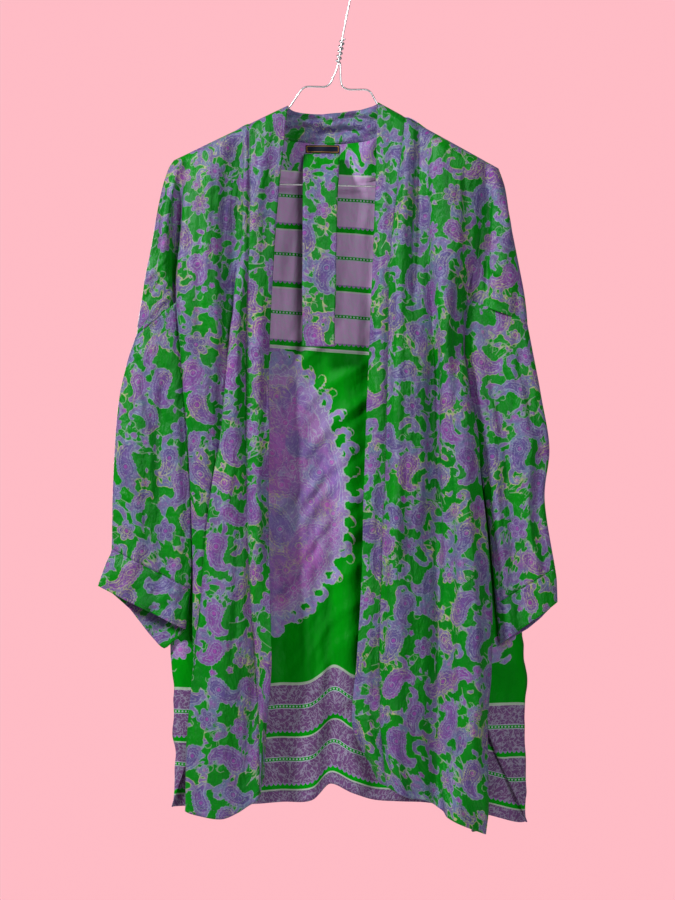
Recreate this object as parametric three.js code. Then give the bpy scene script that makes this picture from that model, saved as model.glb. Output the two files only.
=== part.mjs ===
import * as THREE from "three";
import { mergeVertices } from "three/addons/utils/BufferGeometryUtils.js";

// Short kimono hung on a bent wire hanger.
// Millimetres, +Z up. The origin is the inner top of the hanger's hook, where a rail carries it.
// The front faces -Y, and left means -X.

const clothThickness = 1.6;
const halfCloth = clothThickness / 2;
const seamGap = 0.3;
const armholeGap = 0.5;
const neckSeamGap = 0.6;
const wireRadius = 1.1;
const wireSeat = wireRadius + seamGap + halfCloth;
const armDrop = wireSeat / Math.cos(THREE.MathUtils.degToRad(28)) + 0.2;
const shoulderRound = 13;

// The two straight shoulder lines, each from the neck to the tip of the hanger.
const leftShoulder = { neckX: -56, neckZ: -171, tipX: -197, tipZ: -239 };
const rightShoulder = { neckX: 56, neckZ: -167, tipX: 205, tipZ: -249 };

// Heights of the named levels between the shoulder line and the hem.
const chestZ = -330;
const underarmZ = -414;
const levelZ = { chest: chestZ, underarm: underarmZ, waist: -560, hip: -720, thigh: -850, slit: -930 };

// Rows of cells from the shoulder's round to the underarm, and from there to the hem.
const roundAngles = [0, 32, 62, 90];
const upperRows = 5;
const lowerRows = 13;
const armholeRow = roundAngles.length - 1 + upperRows;

const silkGreen = new THREE.MeshStandardMaterial({ color: 0x2c6e3f, roughness: 0.45, metalness: 0 });
const silkMauve = new THREE.MeshStandardMaterial({ color: 0x6f5a86, roughness: 0.45, metalness: 0 });
const bandSilk = new THREE.MeshStandardMaterial({ color: 0x3d7050, roughness: 0.45, metalness: 0 });
const labelCloth = new THREE.MeshStandardMaterial({ color: 0x10152a, roughness: 0.7, metalness: 0 });
const brightWire = new THREE.MeshStandardMaterial({ color: 0xb9bcc0, roughness: 0.3, metalness: 1 });

const kimono = new THREE.Group();

function addPiece(name, geometry, material) {
  const mesh = new THREE.Mesh(geometry, material);
  mesh.name = name;
  kimono.add(mesh);
}

const vec = (x, y, z) => new THREE.Vector3(x, y, z);

// Value at t of a curve through falling keys that never overshoots its values.
function throughKeys(keys, values, t) {
  const last = keys.length - 1;
  if (t >= keys[0]) {
    return values[0];
  }
  if (t <= keys[last]) {
    return values[last];
  }
  let k = 0;
  while (t < keys[k + 1]) {
    k += 1;
  }
  const chord = (i) => (values[i + 1] - values[i]) / (keys[i + 1] - keys[i]);
  const slope = (i) => {
    if (i === 0 || i === last) {
      return chord(Math.min(i, last - 1));
    }
    const before = chord(i - 1);
    const after = chord(i);
    return before * after <= 0 ? 0 : (2 * before * after) / (before + after);
  };
  const span = keys[k + 1] - keys[k];
  const s = (t - keys[k]) / span;
  const rise = s * s * (3 - 2 * s);
  return values[k] * (1 - rise) + values[k + 1] * rise
    + span * s * (1 - s) * ((1 - s) * slope(k) - s * slope(k + 1));
}

// Points along a smooth curve through the given ones, with a fixed number of steps in each span.
function smoothLine(points, stepsPerSpan) {
  const line = [];
  const last = points.length - 1;
  const at = (i) => {
    if (i < 0) {
      return points[0].clone().multiplyScalar(2).sub(points[1]);
    }
    if (i > last) {
      return points[last].clone().multiplyScalar(2).sub(points[last - 1]);
    }
    return points[i];
  };
  for (let k = 0; k < last; k += 1) {
    const [p0, p1, p2, p3] = [at(k - 1), at(k), at(k + 1), at(k + 2)];
    const [h0, h1, h2] = [p0.distanceTo(p1) ** 0.5, p1.distanceTo(p2) ** 0.5, p2.distanceTo(p3) ** 0.5];
    const tangent = (a, b, c, ha, hb) => b.clone().sub(a).divideScalar(ha)
      .sub(c.clone().sub(a).divideScalar(ha + hb))
      .add(c.clone().sub(b).divideScalar(hb))
      .multiplyScalar(h1);
    const m1 = tangent(p0, p1, p2, h0, h1);
    const m2 = tangent(p1, p2, p3, h1, h2);
    for (let step = 0; step < stepsPerSpan[k]; step += 1) {
      const t = step / stepsPerSpan[k];
      const rise = t * t * (3 - 2 * t);
      line.push(p1.clone().multiplyScalar(1 - rise)
        .addScaledVector(p2, rise)
        .addScaledVector(m1, t * (1 - t) * (1 - t))
        .addScaledVector(m2, -t * t * (1 - t)));
    }
  }
  line.push(points[last].clone());
  return line;
}

// A sheet is a grid of points, rows down and columns across, with its mean normals.
function makeSheet(points, isActive, closed = false) {
  const rows = points.length - 1;
  const columns = closed ? points[0].length : points[0].length - 1;
  const wrap = (j) => (closed ? j % points[0].length : j);
  const normals = points.map((row) => row.map(() => vec(0, 0, 0)));
  for (let i = 0; i < rows; i += 1) {
    for (let j = 0; j < columns; j += 1) {
      if (isActive(i, j)) {
        const corners = [[i, j], [i + 1, j], [i + 1, wrap(j + 1)], [i, wrap(j + 1)]];
        const [a, b, c, d] = corners.map(([r, q]) => points[r][q]);
        const facing = c.clone().sub(a).cross(d.clone().sub(b)).normalize();
        corners.forEach(([r, q]) => normals[r][q].add(facing));
      }
    }
  }
  normals.forEach((row) => row.forEach((normal) => normal.normalize()));
  return { points, normals, isActive, closed };
}

// Closed wall of even thickness over the cells of a sheet that isCut keeps.
// Edges that are named in trims stop short of the seam by the given distance.
function cutWall(sheet, isCut, trims = [], thickness = clothThickness) {
  const { closed } = sheet;
  const points = sheet.points.map((row) => row.map((point) => point.clone()));
  trims.forEach(({ row, column, towardRow, towardColumn, distance }) => {
    const from = sheet.points[row][column];
    const inward = sheet.points[towardRow][towardColumn].clone().sub(from);
    points[row][column].addScaledVector(inward.normalize(), distance);
  });
  const rows = points.length - 1;
  const width = points[0].length;
  const columns = closed ? width : width - 1;
  const wrap = (j) => (closed ? (j + width) % width : j);
  const kept = (i, j) => i >= 0 && i < rows && (closed || (j >= 0 && j < columns))
    && sheet.isActive(i, wrap(j)) && isCut(i, wrap(j));
  const positions = [];
  const numbered = new Map();
  const vertex = (i, j, side) => {
    const key = `${i},${j},${side}`;
    if (!numbered.has(key)) {
      const moved = points[i][j].clone().addScaledVector(sheet.normals[i][j], side * thickness / 2);
      if (sheet.onPlane && sheet.onPlane(i, j)) {
        moved.y = sheet.planeY;
      }
      numbered.set(key, positions.length / 3);
      positions.push(moved.x, moved.y, moved.z);
    }
    return numbered.get(key);
  };
  const faces = [];
  const quad = (a, b, c, d) => faces.push(a, b, c, a, c, d);
  for (let i = 0; i < rows; i += 1) {
    for (let j = 0; j < columns; j += 1) {
      if (kept(i, j)) {
        const corners = [[i, j], [i + 1, j], [i + 1, wrap(j + 1)], [i, wrap(j + 1)]];
        const outer = corners.map(([r, q]) => vertex(r, q, 1));
        const inner = corners.map(([r, q]) => vertex(r, q, -1));
        quad(outer[0], outer[1], outer[2], outer[3]);
        faces.push(inner[0], inner[2], inner[1], inner[0], inner[3], inner[2]);
        const neighbours = [[i, j - 1], [i + 1, j], [i, j + 1], [i - 1, j]];
        neighbours.forEach(([r, q], side) => {
          if (!kept(r, q)) {
            const next = (side + 1) % 4;
            quad(outer[next], outer[side], inner[side], inner[next]);
          }
        });
      }
    }
  }
  return solidFrom(positions, faces);
}

function solidFrom(positions, faces) {
  let volume = 0;
  const at = (n) => vec(positions[3 * n], positions[3 * n + 1], positions[3 * n + 2]);
  for (let f = 0; f < faces.length; f += 3) {
    volume += at(faces[f]).dot(at(faces[f + 1]).cross(at(faces[f + 2])));
  }
  const facing = volume > 0 ? faces : faces.map((_, n) => faces[n - (n % 3) + 2 - (n % 3)]);
  const geometry = new THREE.BufferGeometry();
  geometry.setAttribute("position", new THREE.Float32BufferAttribute(positions, 3));
  geometry.setIndex(facing);
  geometry.computeVertexNormals();
  return geometry;
}

// Fold lines of one front, from the free edge of its band out to the side seam.
// Each has x and y at the shoulder, chest, underarm, waist, hip, thigh, slit and hem, and its hem height.
const leftFolds = [
  { line: "bandEdge", hemZ: -1003, x: [-56, -71, -75, -78, -78, -78, -80, -84],
    y: [-8, -13, -14, -15, -16, -15, -14, -12] },
  { line: "bandMiddle", hemZ: -1005, x: [-80, -88, -91, -93, -92, -87, -85, -87],
    y: [-13, -18, -19, -20, -21, -20, -18, -15] },
  { line: "bandSeam", hemZ: -1025, x: [-103, -104, -106, -107, -105, -97, -91, -92],
    y: [-15, -17, -18, -19, -20, -19, -18, -16] },
  { line: "mainRidge", hemZ: -1051, x: [-107, -110, -114, -123, -130, -135, -134, -134],
    y: [-17, -21, -24, -31, -36, -37, -36, -34] },
  { line: "darkEdge", hemZ: -1042, x: [-111, -115, -123, -139, -157, -173, -177, -181],
    y: [-16, -19, -22, -26, -28, -27, -26, -25] },
  { line: "tuck", hemZ: -1040, x: [-117, -119, -122, -130, -142, -154, -158, -160],
    y: [-13, -11, -10, -9, -10, -12, -13, -12] },
  { line: "wedgeRidge", hemZ: -1038, x: [-140, -148, -152, -160, -165, -168, -170, -171],
    y: [-18, -24, -25, -22, -15, -6, -5, -4] },
  { line: "outerFold", hemZ: -1038, x: [-163, -183, -187, -183, -175, -174, -173, -173],
    y: [-17, -17, -15, -12, -8, 0, 3, 4] },
  { line: "seamTurn", hemZ: -1038, x: [-173, -189, -189, -171, -163, -164, -165, -164],
    y: [-13, -9, -4, -2, 2, 5, 7, 7] },
  { line: "sideSeam", hemZ: -1038, x: [-179, -193, -192, -165, -157, -157, -158, -158],
    y: [-10, -5, -2, 1, 5, 7, 7, 8] },
];
const rightFolds = [
  { line: "bandEdge", hemZ: -1008, x: [56, 49, 46, 42, 37, 31, 23, 54],
    y: [-8, -13, -14, -16, -18, -18, -18, -10] },
  { line: "bandMiddle", hemZ: -1010, x: [72, 61, 57, 54, 48, 44, 40, 60],
    y: [-13, -18, -19, -21, -22, -22, -22, -14] },
  { line: "bandSeam", hemZ: -1012, x: [89, 73, 69, 67, 60, 57, 58, 68],
    y: [-15, -17, -18, -19, -20, -20, -20, -17] },
  { line: "narrowCrest", hemZ: -1020, x: [95, 84, 81, 79, 76, 74, 74, 80],
    y: [-18, -26, -29, -31, -32, -31, -31, -28] },
  { line: "narrowEdge", hemZ: -1026, x: [101, 92, 90, 89, 89, 88, 88, 92],
    y: [-17, -22, -24, -26, -27, -26, -26, -24] },
  { line: "groove", hemZ: -1030, x: [107, 100, 98, 98, 98, 98, 98, 101],
    y: [-13, -11, -10, -10, -10, -10, -10, -11] },
  { line: "creaseEdge", hemZ: -1037, x: [113, 112, 112, 114, 116, 116, 116, 116],
    y: [-15, -16, -17, -18, -20, -20, -20, -19] },
  { line: "broadCrest", hemZ: -1055, x: [136, 139, 137, 145, 153, 158, 157, 152],
    y: [-21, -28, -31, -34, -37, -37, -36, -34] },
  { line: "outerFold", hemZ: -1071, x: [168, 170, 157, 176, 193, 201, 196, 187],
    y: [-18, -19, -18, -19, -20, -20, -20, -20] },
  { line: "seamTurn", hemZ: -1071, x: [184, 179, 164, 163, 176, 184, 182, 178],
    y: [-13, -9, -4, -2, 0, 2, 3, 3] },
  { line: "sideSeam", hemZ: -1071, x: [190, 183, 167, 158, 170, 178, 176, 172],
    y: [-10, -5, -2, 1, 3, 4, 5, 5] },
];
const bandColumns = 4;
const stepsTo = (fold) => {
  if (["seamTurn", "sideSeam"].includes(fold.line)) {
    return 1;
  }
  return ["mainRidge", "darkEdge", "narrowCrest", "broadCrest", "outerFold"].includes(fold.line) ? 3 : 2;
};

// Lines of the dropped shoulder, out from the crease above the underarm to the folded outer edge.
// Each has x and y at the shoulder, chest and armhole seam, and its height at the seam.
const leftDrop = [
  { line: "dropRidge", seamZ: -432, x: [-187, -208, -214], y: [-12, -13, -12] },
  { line: "dropRound", seamZ: -454.4, x: [-195, -221, -242], y: [-7, -7, -6] },
];
const rightDrop = [
  { line: "dropRidge", seamZ: -427, x: [197, 206, 204], y: [-12, -13, -12] },
  { line: "dropRound", seamZ: -438.9, x: [204, 220, 238], y: [-7, -7, -6] },
];
const leftOuterEdge = { z: [-239, -248, -276, -358, -413, -456], x: [-197, -203, -212, -227, -237, -244] };
const rightOuterEdge = { z: [-249, -273, -312, -358, -412, -440], x: [205, 213, 219, 228, 238, 241] };
const dropSteps = [2, 2, 2];

// Fold lines of the back between its two side seams, as on the fronts.
const backFolds = [
  { line: "leftSeam", hemZ: -1042, x: [-179, -193, -192, -165, -157, -157, -166, -201],
    y: [10, 5, 2, 3, 7, 9, 11, 15] },
  { line: "leftTurn", hemZ: -1042, x: [-175, -192, -191, -188, -190, -192, -189, -199],
    y: [12, 8, 6, 13, 15, 15, 16, 17] },
  { line: "leftFold", hemZ: -1042, x: [-169, -189, -189, -197, -199, -201, -197, -196],
    y: [14, 12, 11, 18, 20, 20, 20, 18] },
  { line: "leftRear", hemZ: -1042, x: [-160, -183, -186, -190, -191, -192, -189, -190],
    y: [16, 15, 15, 23, 25, 25, 24, 20] },
  { line: "leftTrough", hemZ: -1041, x: [-144, -153, -158, -165, -167, -168, -166, -164],
    y: [17, 18, 18, 20, 21, 21, 20, 18] },
  { line: "leftRidge", hemZ: -1040, x: [-124, -126, -127, -131, -132, -132, -132, -133],
    y: [19, 24, 26, 29, 30, 30, 29, 26] },
  { line: "neckLeft", hemZ: -1039, x: [-103, -97, -96, -98, -99, -99, -99, -100],
    y: [15, 19, 19, 18, 18, 18, 18, 17] },
  { line: "midLeft", hemZ: -1037, x: [-74, -66, -66, -66, -66, -66, -66, -66],
    y: [17, 23, 24, 25, 26, 27, 26, 23] },
  { line: "beltLeft", hemZ: -1034, x: [-36, -36, -36, -34, -32, -30, -28, -26],
    y: [22, 24, 23, 22, 22, 21, 19, 16] },
  { line: "notch", hemZ: -1015, x: [-8, -10, -10, -8, -4, 0, 0, -4],
    y: [24, 25, 26, 26, 27, 28, 28, 28] },
  { line: "beltRight", hemZ: -1026, x: [20, 16, 16, 16, 18, 22, 24, 26],
    y: [22, 23, 23, 22, 22, 21, 20, 18] },
  { line: "midRight", hemZ: -1035, x: [58, 48, 46, 44, 46, 48, 50, 52],
    y: [17, 25, 26, 27, 28, 29, 28, 26] },
  { line: "neckRight", hemZ: -1036, x: [89, 82, 80, 78, 80, 82, 84, 86],
    y: [15, 20, 20, 19, 19, 19, 19, 18] },
  { line: "rightRidge", hemZ: -1040, x: [120, 114, 110, 112, 118, 124, 128, 130],
    y: [19, 25, 27, 30, 31, 31, 30, 28] },
  { line: "rightTrough", hemZ: -1052, x: [148, 146, 140, 156, 172, 184, 190, 190],
    y: [17, 18, 18, 20, 20, 20, 20, 19] },
  { line: "rightRear", hemZ: -1062, x: [170, 173, 160, 188, 211, 227, 232, 228],
    y: [16, 15, 15, 23, 25, 25, 24, 21] },
  { line: "rightFold", hemZ: -1062, x: [179, 179, 164, 197, 220, 236, 241, 236],
    y: [14, 12, 11, 18, 20, 20, 20, 19] },
  { line: "rightTurn", hemZ: -1061, x: [186, 182, 166, 188, 211, 226, 231, 240],
    y: [12, 8, 6, 13, 15, 15, 16, 18] },
  { line: "rightSeam", hemZ: -1061, x: [190, 183, 167, 158, 170, 178, 188, 242],
    y: [10, 5, 2, 3, 5, 6, 9, 16] },
];
const backSteps = [2, 1, 1, 2, 2, 2, 2, 2, 2, 2, 2, 2, 2, 2, 2, 1, 1, 2];

// Where the back's folds meet the lower edge of the neck band.
const neckSeam = {
  midLeft: { y: 18, z: -208 },
  beltLeft: { y: 22, z: -214 },
  notch: { y: 24, z: -216 },
  beltRight: { y: 22, z: -215 },
  midRight: { y: 18, z: -208 },
};

const shoulderZ = (shoulder, x) => shoulder.neckZ
  + (shoulder.tipZ - shoulder.neckZ) * (x - shoulder.neckX) / (shoulder.tipX - shoulder.neckX);

// Point of a line that starts at topZ, at its own share of the way down each row.
// The cloth leaves the top edge level, rounds over and hangs.
function hangingPoint(row, topZ, middleZ, bottomZ, keys, xs, ys, startY) {
  const rounds = roundAngles.length - 1;
  const angle = THREE.MathUtils.degToRad(roundAngles[Math.min(row, rounds)]);
  const roundedZ = topZ - shoulderRound * (1 - Math.cos(angle));
  let z = roundedZ;
  if (row > armholeRow) {
    z = THREE.MathUtils.lerp(middleZ, bottomZ, (row - armholeRow) / lowerRows);
  } else if (row > rounds) {
    z = THREE.MathUtils.lerp(roundedZ, middleZ, (row - rounds) / upperRows);
  }
  const x = throughKeys(keys, xs, z);
  const fullY = throughKeys(keys, ys, z);
  return vec(x, startY + (fullY - startY) * Math.sin(angle), z);
}

function frontSheet(folds, drop, outerEdge, shoulder) {
  const startY = -seamGap / 2;
  const rowCount = armholeRow + lowerRows;
  const foldSteps = folds.slice(1).map(stepsTo);
  const steps = [...foldSteps, ...dropSteps];
  const points = [];
  for (let row = 0; row <= rowCount; row += 1) {
    const line = folds.map((fold) => {
      const topZ = shoulderZ(shoulder, fold.x[0]);
      const keys = [topZ, ...Object.values(levelZ), fold.hemZ];
      return hangingPoint(row, topZ, underarmZ, fold.hemZ, keys, fold.x, fold.y, startY);
    });
    const upperRow = Math.min(row, armholeRow);
    drop.forEach((fold) => {
      const topZ = shoulderZ(shoulder, fold.x[0]);
      const keys = [topZ, chestZ, fold.seamZ];
      line.push(hangingPoint(upperRow, topZ, fold.seamZ, 0, keys, fold.x, fold.y, startY));
    });
    const edgeFoot = outerEdge.z[outerEdge.z.length - 1];
    const still = outerEdge.z.map(() => startY);
    line.push(hangingPoint(upperRow, outerEdge.z[0], edgeFoot, 0, outerEdge.z, outerEdge.x, still, startY));
    points.push(smoothLine(line, steps));
  }
  const seamColumn = foldSteps.reduce((sum, step) => sum + step, 0);
  const sheet = makeSheet(points, (i, j) => i < armholeRow || j < seamColumn);
  const lastColumn = points[0].length - 1;
  const meetsBack = (i, j) => i === 0 || j === lastColumn;
  Object.assign(sheet, { seamColumn, planeY: startY, onPlane: meetsBack });
  return sheet;
}

// Trims along one column of a sheet, between two rows.
function columnTrims(column, towardColumn, firstRow, lastRow, distance) {
  const trims = [];
  for (let row = firstRow; row <= lastRow; row += 1) {
    trims.push({ row, column, towardRow: row, towardColumn, distance });
  }
  return trims;
}

// Trims along one row of a sheet, between two columns.
function rowTrims(row, towardRow, firstColumn, lastColumn, distance) {
  const trims = [];
  for (let column = firstColumn; column <= lastColumn; column += 1) {
    trims.push({ row, column, towardRow, towardColumn: column, distance });
  }
  return trims;
}

function addFront(side, sheet) {
  const lastRow = sheet.points.length - 1;
  const lastColumn = sheet.points[0].length - 1;
  const bandTrims = columnTrims(bandColumns, bandColumns - 1, 0, lastRow, seamGap / 2);
  const panelTrims = [
    ...columnTrims(bandColumns, bandColumns + 1, 0, lastRow, seamGap / 2),
    ...rowTrims(armholeRow, armholeRow - 1, sheet.seamColumn + 1, lastColumn, armholeGap / 2),
  ];
  addPiece(`band_${side}`, cutWall(sheet, (i, j) => j < bandColumns, bandTrims), bandSilk);
  addPiece(`front_${side}`, cutWall(sheet, (i, j) => j >= bandColumns, panelTrims), silkGreen);
}

const frontLeft = frontSheet(leftFolds, leftDrop, leftOuterEdge, leftShoulder);
const frontRight = frontSheet(rightFolds, rightDrop, rightOuterEdge, rightShoulder);
addFront("left", frontLeft);
addFront("right", frontRight);

// Upper edge of the neck band, from the left shoulder line to the right one.
const neckBandRows = 3;
const neckTop = [
  { x: -56, y: 0.15, z: -171 },
  { x: -55, y: 6, z: -173 },
  { x: -44, y: 16, z: -177 },
  { x: -20, y: 21, z: -179 },
  { x: 4, y: 22, z: -177 },
  { x: 24, y: 21, z: -175 },
  { x: 44, y: 16, z: -171 },
  { x: 55, y: 6, z: -168 },
  { x: 56, y: 0.15, z: -167 },
];
function backSheet() {
  const startY = seamGap / 2;
  const rowCount = armholeRow + lowerRows;
  const neckFirst = backFolds.findIndex((fold) => fold.line === "neckLeft");
  const neckLast = backFolds.findIndex((fold) => fold.line === "neckRight");
  const dropLine = (drop, outerEdge, shoulder, row) => {
    const upperRow = Math.min(row, armholeRow);
    const edgeFoot = outerEdge.z[outerEdge.z.length - 1];
    const still = outerEdge.z.map(() => startY);
    const edge = hangingPoint(upperRow, outerEdge.z[0], edgeFoot, 0, outerEdge.z, outerEdge.x, still, startY);
    const inner = drop.map((fold) => {
      const topZ = shoulderZ(shoulder, fold.x[0]);
      const behind = fold.y.map((y) => -y);
      return hangingPoint(upperRow, topZ, fold.seamZ, 0, [topZ, chestZ, fold.seamZ], fold.x, behind, startY);
    });
    return [...inner, edge];
  };
  const points = [];
  for (let row = 0; row <= rowCount; row += 1) {
    const left = dropLine(leftDrop, leftOuterEdge, leftShoulder, row).reverse();
    const right = dropLine(rightDrop, rightOuterEdge, rightShoulder, row);
    const middle = backFolds.map((fold, k) => {
      const shoulder = k < backFolds.length / 2 ? leftShoulder : rightShoulder;
      const seam = neckSeam[fold.line];
      const topZ = seam ? seam.z : shoulderZ(shoulder, fold.x[0]);
      const keys = [topZ, ...Object.values(levelZ), fold.hemZ];
      const point = hangingPoint(row, topZ, underarmZ, fold.hemZ, keys, fold.x, fold.y, startY);
      if (seam && row < roundAngles.length) {
        point.y = THREE.MathUtils.lerp(seam.y, fold.y[0], row / roundAngles.length);
      }
      return point;
    });
    points.push(smoothLine([...left, ...middle, ...right], [...dropSteps, ...backSteps, ...dropSteps]));
  }
  const leftSeam = dropSteps.reduce((sum, step) => sum + step, 0);
  const rightSeam = leftSeam + backSteps.reduce((sum, step) => sum + step, 0);
  const countTo = (k) => leftSeam + backSteps.slice(0, k).reduce((sum, step) => sum + step, 0);
  const neckFrom = countTo(neckFirst);
  const neckTo = countTo(neckLast);
  const rowsWithBand = [...neckBandPoints(points[0], neckFrom, neckTo), ...points];
  const sheet = makeSheet(rowsWithBand, (i, j) => {
    if (i < neckBandRows) {
      return j >= neckFrom && j < neckTo;
    }
    return i < armholeRow + neckBandRows || (j >= leftSeam && j < rightSeam);
  });
  const lastColumn = points[0].length - 1;
  const meetsFront = (i, j) => (i === neckBandRows && (j <= neckFrom || j >= neckTo))
    || (i < neckBandRows && (j === neckFrom || j === neckTo)) || j === 0 || j === lastColumn;
  Object.assign(sheet, { leftSeam, rightSeam, neckFrom, neckTo, planeY: startY, onPlane: meetsFront });
  return sheet;
}

// Rows of the neck band, from its upper edge down to the back's top edge, which is their seam.
function neckBandPoints(topEdge, neckFrom, neckTo) {
  const topLine = neckTop.map((point) => vec(point.x, point.y, point.z));
  const upper = smoothLine(topLine, neckTop.slice(1).map(() => 3));
  const rows = [];
  for (let row = 0; row < neckBandRows; row += 1) {
    rows.push(topEdge.map((foot, j) => {
      const share = THREE.MathUtils.clamp((j - neckFrom) / (neckTo - neckFrom), 0, 1);
      const along = share * (upper.length - 1);
      const k = Math.min(Math.floor(along), upper.length - 2);
      return upper[k].clone().lerp(upper[k + 1], along - k).lerp(foot, row / neckBandRows);
    }));
  }
  return rows;
}

const back = backSheet();
const backArmhole = armholeRow + neckBandRows;
const backLastColumn = back.points[0].length - 1;
addPiece("back_panel", cutWall(back, (i) => i >= neckBandRows, [
  ...rowTrims(neckBandRows, neckBandRows + 1, back.neckFrom, back.neckTo, seamGap / 2),
  ...rowTrims(backArmhole, backArmhole - 1, 0, back.leftSeam - 1, armholeGap / 2),
  ...rowTrims(backArmhole, backArmhole - 1, back.rightSeam + 1, backLastColumn, armholeGap / 2),
]), silkMauve);
addPiece("neck_band", cutWall(back, (i) => i < neckBandRows, [
  ...rowTrims(neckBandRows, neckBandRows - 1, back.neckFrom, back.neckTo, neckSeamGap),
]), bandSilk);

// Each sleeve is a flattened tube. Its sections run from the armhole to the cuff's edge, with the outer
// and the inner fold in x and z, half its depth at front and back, and how far its back hangs lower.
const sleeveColumns = 22;
const cuffRow = 9;
const leftSleeve = [
  { at: 0, outerX: -244, outerZ: -457, innerX: -195, innerZ: -417.4, front: 12, back: 12, sag: 0 },
  { at: 1, outerX: -254, outerZ: -487, innerX: -194, innerZ: -450, front: 12, back: 11, sag: 0 },
  { at: 3, outerX: -265, outerZ: -538, innerX: -187, innerZ: -512, front: 12, back: 11, sag: 0 },
  { at: 5, outerX: -270, outerZ: -598, innerX: -180, innerZ: -582, front: 12, back: 12, sag: 0 },
  { at: 7, outerX: -273, outerZ: -664, innerX: -173, innerZ: -672, front: 12, back: 12, sag: 2 },
  { at: 9, outerX: -274, outerZ: -720, innerX: -177, innerZ: -770, front: 11, back: 12, sag: 8 },
  { at: 10, outerX: -281, outerZ: -738, innerX: -179, innerZ: -788, front: 12, back: 13, sag: 16 },
  { at: 12, outerX: -291, outerZ: -766, innerX: -183, innerZ: -820, front: 12, back: 13, sag: 34 },
];
const rightSleeve = [
  { at: 0, outerX: 241, outerZ: -440.7, innerX: 170, innerZ: -416.3, front: 12, back: 12, sag: 0 },
  { at: 1, outerX: 247, outerZ: -474, innerX: 168.5, innerZ: -455, front: 12, back: 11, sag: 0 },
  { at: 3, outerX: 258, outerZ: -532, innerX: 173, innerZ: -520, front: 12, back: 11, sag: 0 },
  { at: 5, outerX: 268, outerZ: -598, innerX: 183, innerZ: -600, front: 12, back: 12, sag: 0 },
  { at: 7, outerX: 262, outerZ: -655, innerX: 193, innerZ: -690, front: 12, back: 12, sag: 1 },
  { at: 9, outerX: 275, outerZ: -744, innerX: 202, innerZ: -788, front: 11, back: 12, sag: 3 },
  { at: 10, outerX: 277, outerZ: -758, innerX: 204, innerZ: -806, front: 12, back: 12, sag: 5 },
  { at: 12, outerX: 278, outerZ: -786, innerX: 207, innerZ: -838, front: 12, back: 12, sag: 8 },
];

// Soft folds down a sleeve: the side they are on, their place across it, their depth and half width.
const sleeveFolds = [
  { side: -1, place: 0.3, depth: 4, half: 0.13 },
  { side: -1, place: 0.62, depth: -4, half: 0.14 },
  { side: -1, place: 0.84, depth: 3, half: 0.1 },
  { side: 1, place: 0.36, depth: -3, half: 0.15 },
  { side: 1, place: 0.66, depth: 2, half: 0.14 },
];

// Share of the back's extra drop at each place across a sleeve, from its outer to its inner fold.
const leftSag = [[0, 0], [0.14, 0.04], [0.36, 0.3], [0.56, 0.84], [0.7, 1.12], [0.76, 1.12], [0.88, 0.6], [1, 0]];
const rightSag = [[0, 0], [0.25, 0.7], [0.5, 1], [0.75, 0.7], [1, 0]];

function shareAt(table, place) {
  const next = Math.max(1, table.findIndex(([at]) => at >= place));
  const [[from, low], [to, high]] = [table[next - 1], table[next]];
  return THREE.MathUtils.lerp(low, high, (place - from) / (to - from));
}

function sleeveSheet(sections, sagTable) {
  const keys = sections.map((section) => -section.at);
  const value = (name, row) => throughKeys(keys, sections.map((section) => section[name]), -row);
  const rowCount = sections[sections.length - 1].at;
  const points = [];
  for (let row = 0; row <= rowCount; row += 1) {
    const ring = [];
    for (let column = 0; column < sleeveColumns; column += 1) {
      const angle = 2 * Math.PI * column / sleeveColumns;
      const place = (1 - Math.cos(angle)) / 2;
      const side = angle <= Math.PI ? -1 : 1;
      const roundness = Math.abs(Math.sin(angle)) ** 0.8;
      let depth = side < 0 ? value("front", row) : value("back", row);
      sleeveFolds.filter((fold) => fold.side === side).forEach((fold) => {
        const near = Math.max(0, 1 - Math.abs(place - fold.place) / fold.half);
        depth += fold.depth * near * near * (3 - 2 * near) * Math.min(1, row / 4);
      });
      const sag = side > 0 ? value("sag", row) * shareAt(sagTable, place) : 0;
      ring.push(vec(
        THREE.MathUtils.lerp(value("outerX", row), value("innerX", row), place),
        side * depth * roundness,
        THREE.MathUtils.lerp(value("outerZ", row), value("innerZ", row), place) - sag,
      ));
    }
    points.push(ring);
  }
  return makeSheet(points, () => true, true);
}

function addSleeve(side, sections, sagTable) {
  const sheet = sleeveSheet(sections, sagTable);
  const last = sleeveColumns - 1;
  const sleeve = cutWall(sheet, (i) => i < cuffRow, rowTrims(cuffRow, cuffRow - 1, 0, last, seamGap / 2));
  const cuff = cutWall(sheet, (i) => i >= cuffRow, rowTrims(cuffRow, cuffRow + 1, 0, last, seamGap / 2));
  addPiece(`sleeve_${side}`, sleeve, silkGreen);
  addPiece(`cuff_${side}`, cuff, bandSilk);
}

addSleeve("left", leftSleeve, leftSag);
addSleeve("right", rightSleeve, rightSag);

// Belt: a folded strip that leans from the back neck over the front of the hanger's bar.
// Its layers share one path down to the fold, where the back layer turns up behind the front one.
const beltWidth = { top: 45, foot: 40 };
const beltLayerGap = 0.7;
const beltPitch = clothThickness + beltLayerGap;
const beltBackY = -(wireRadius + seamGap + halfCloth);
const beltPath = [
  { x: -14, y: 17.5, z: -230 },
  { x: -14.5, y: 12, z: -241 },
  { x: -15, y: 4, z: -252 },
  { x: -15, y: beltBackY - 0.6, z: -262 },
  { x: -15.5, y: beltBackY, z: -270 },
  { x: -16, y: beltBackY, z: -300 },
  { x: -17, y: beltBackY, z: -380 },
  { x: -18, y: beltBackY, z: -468 },
];

const beltSteps = [2, 2, 2, 2, 2, 4, 4];

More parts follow.
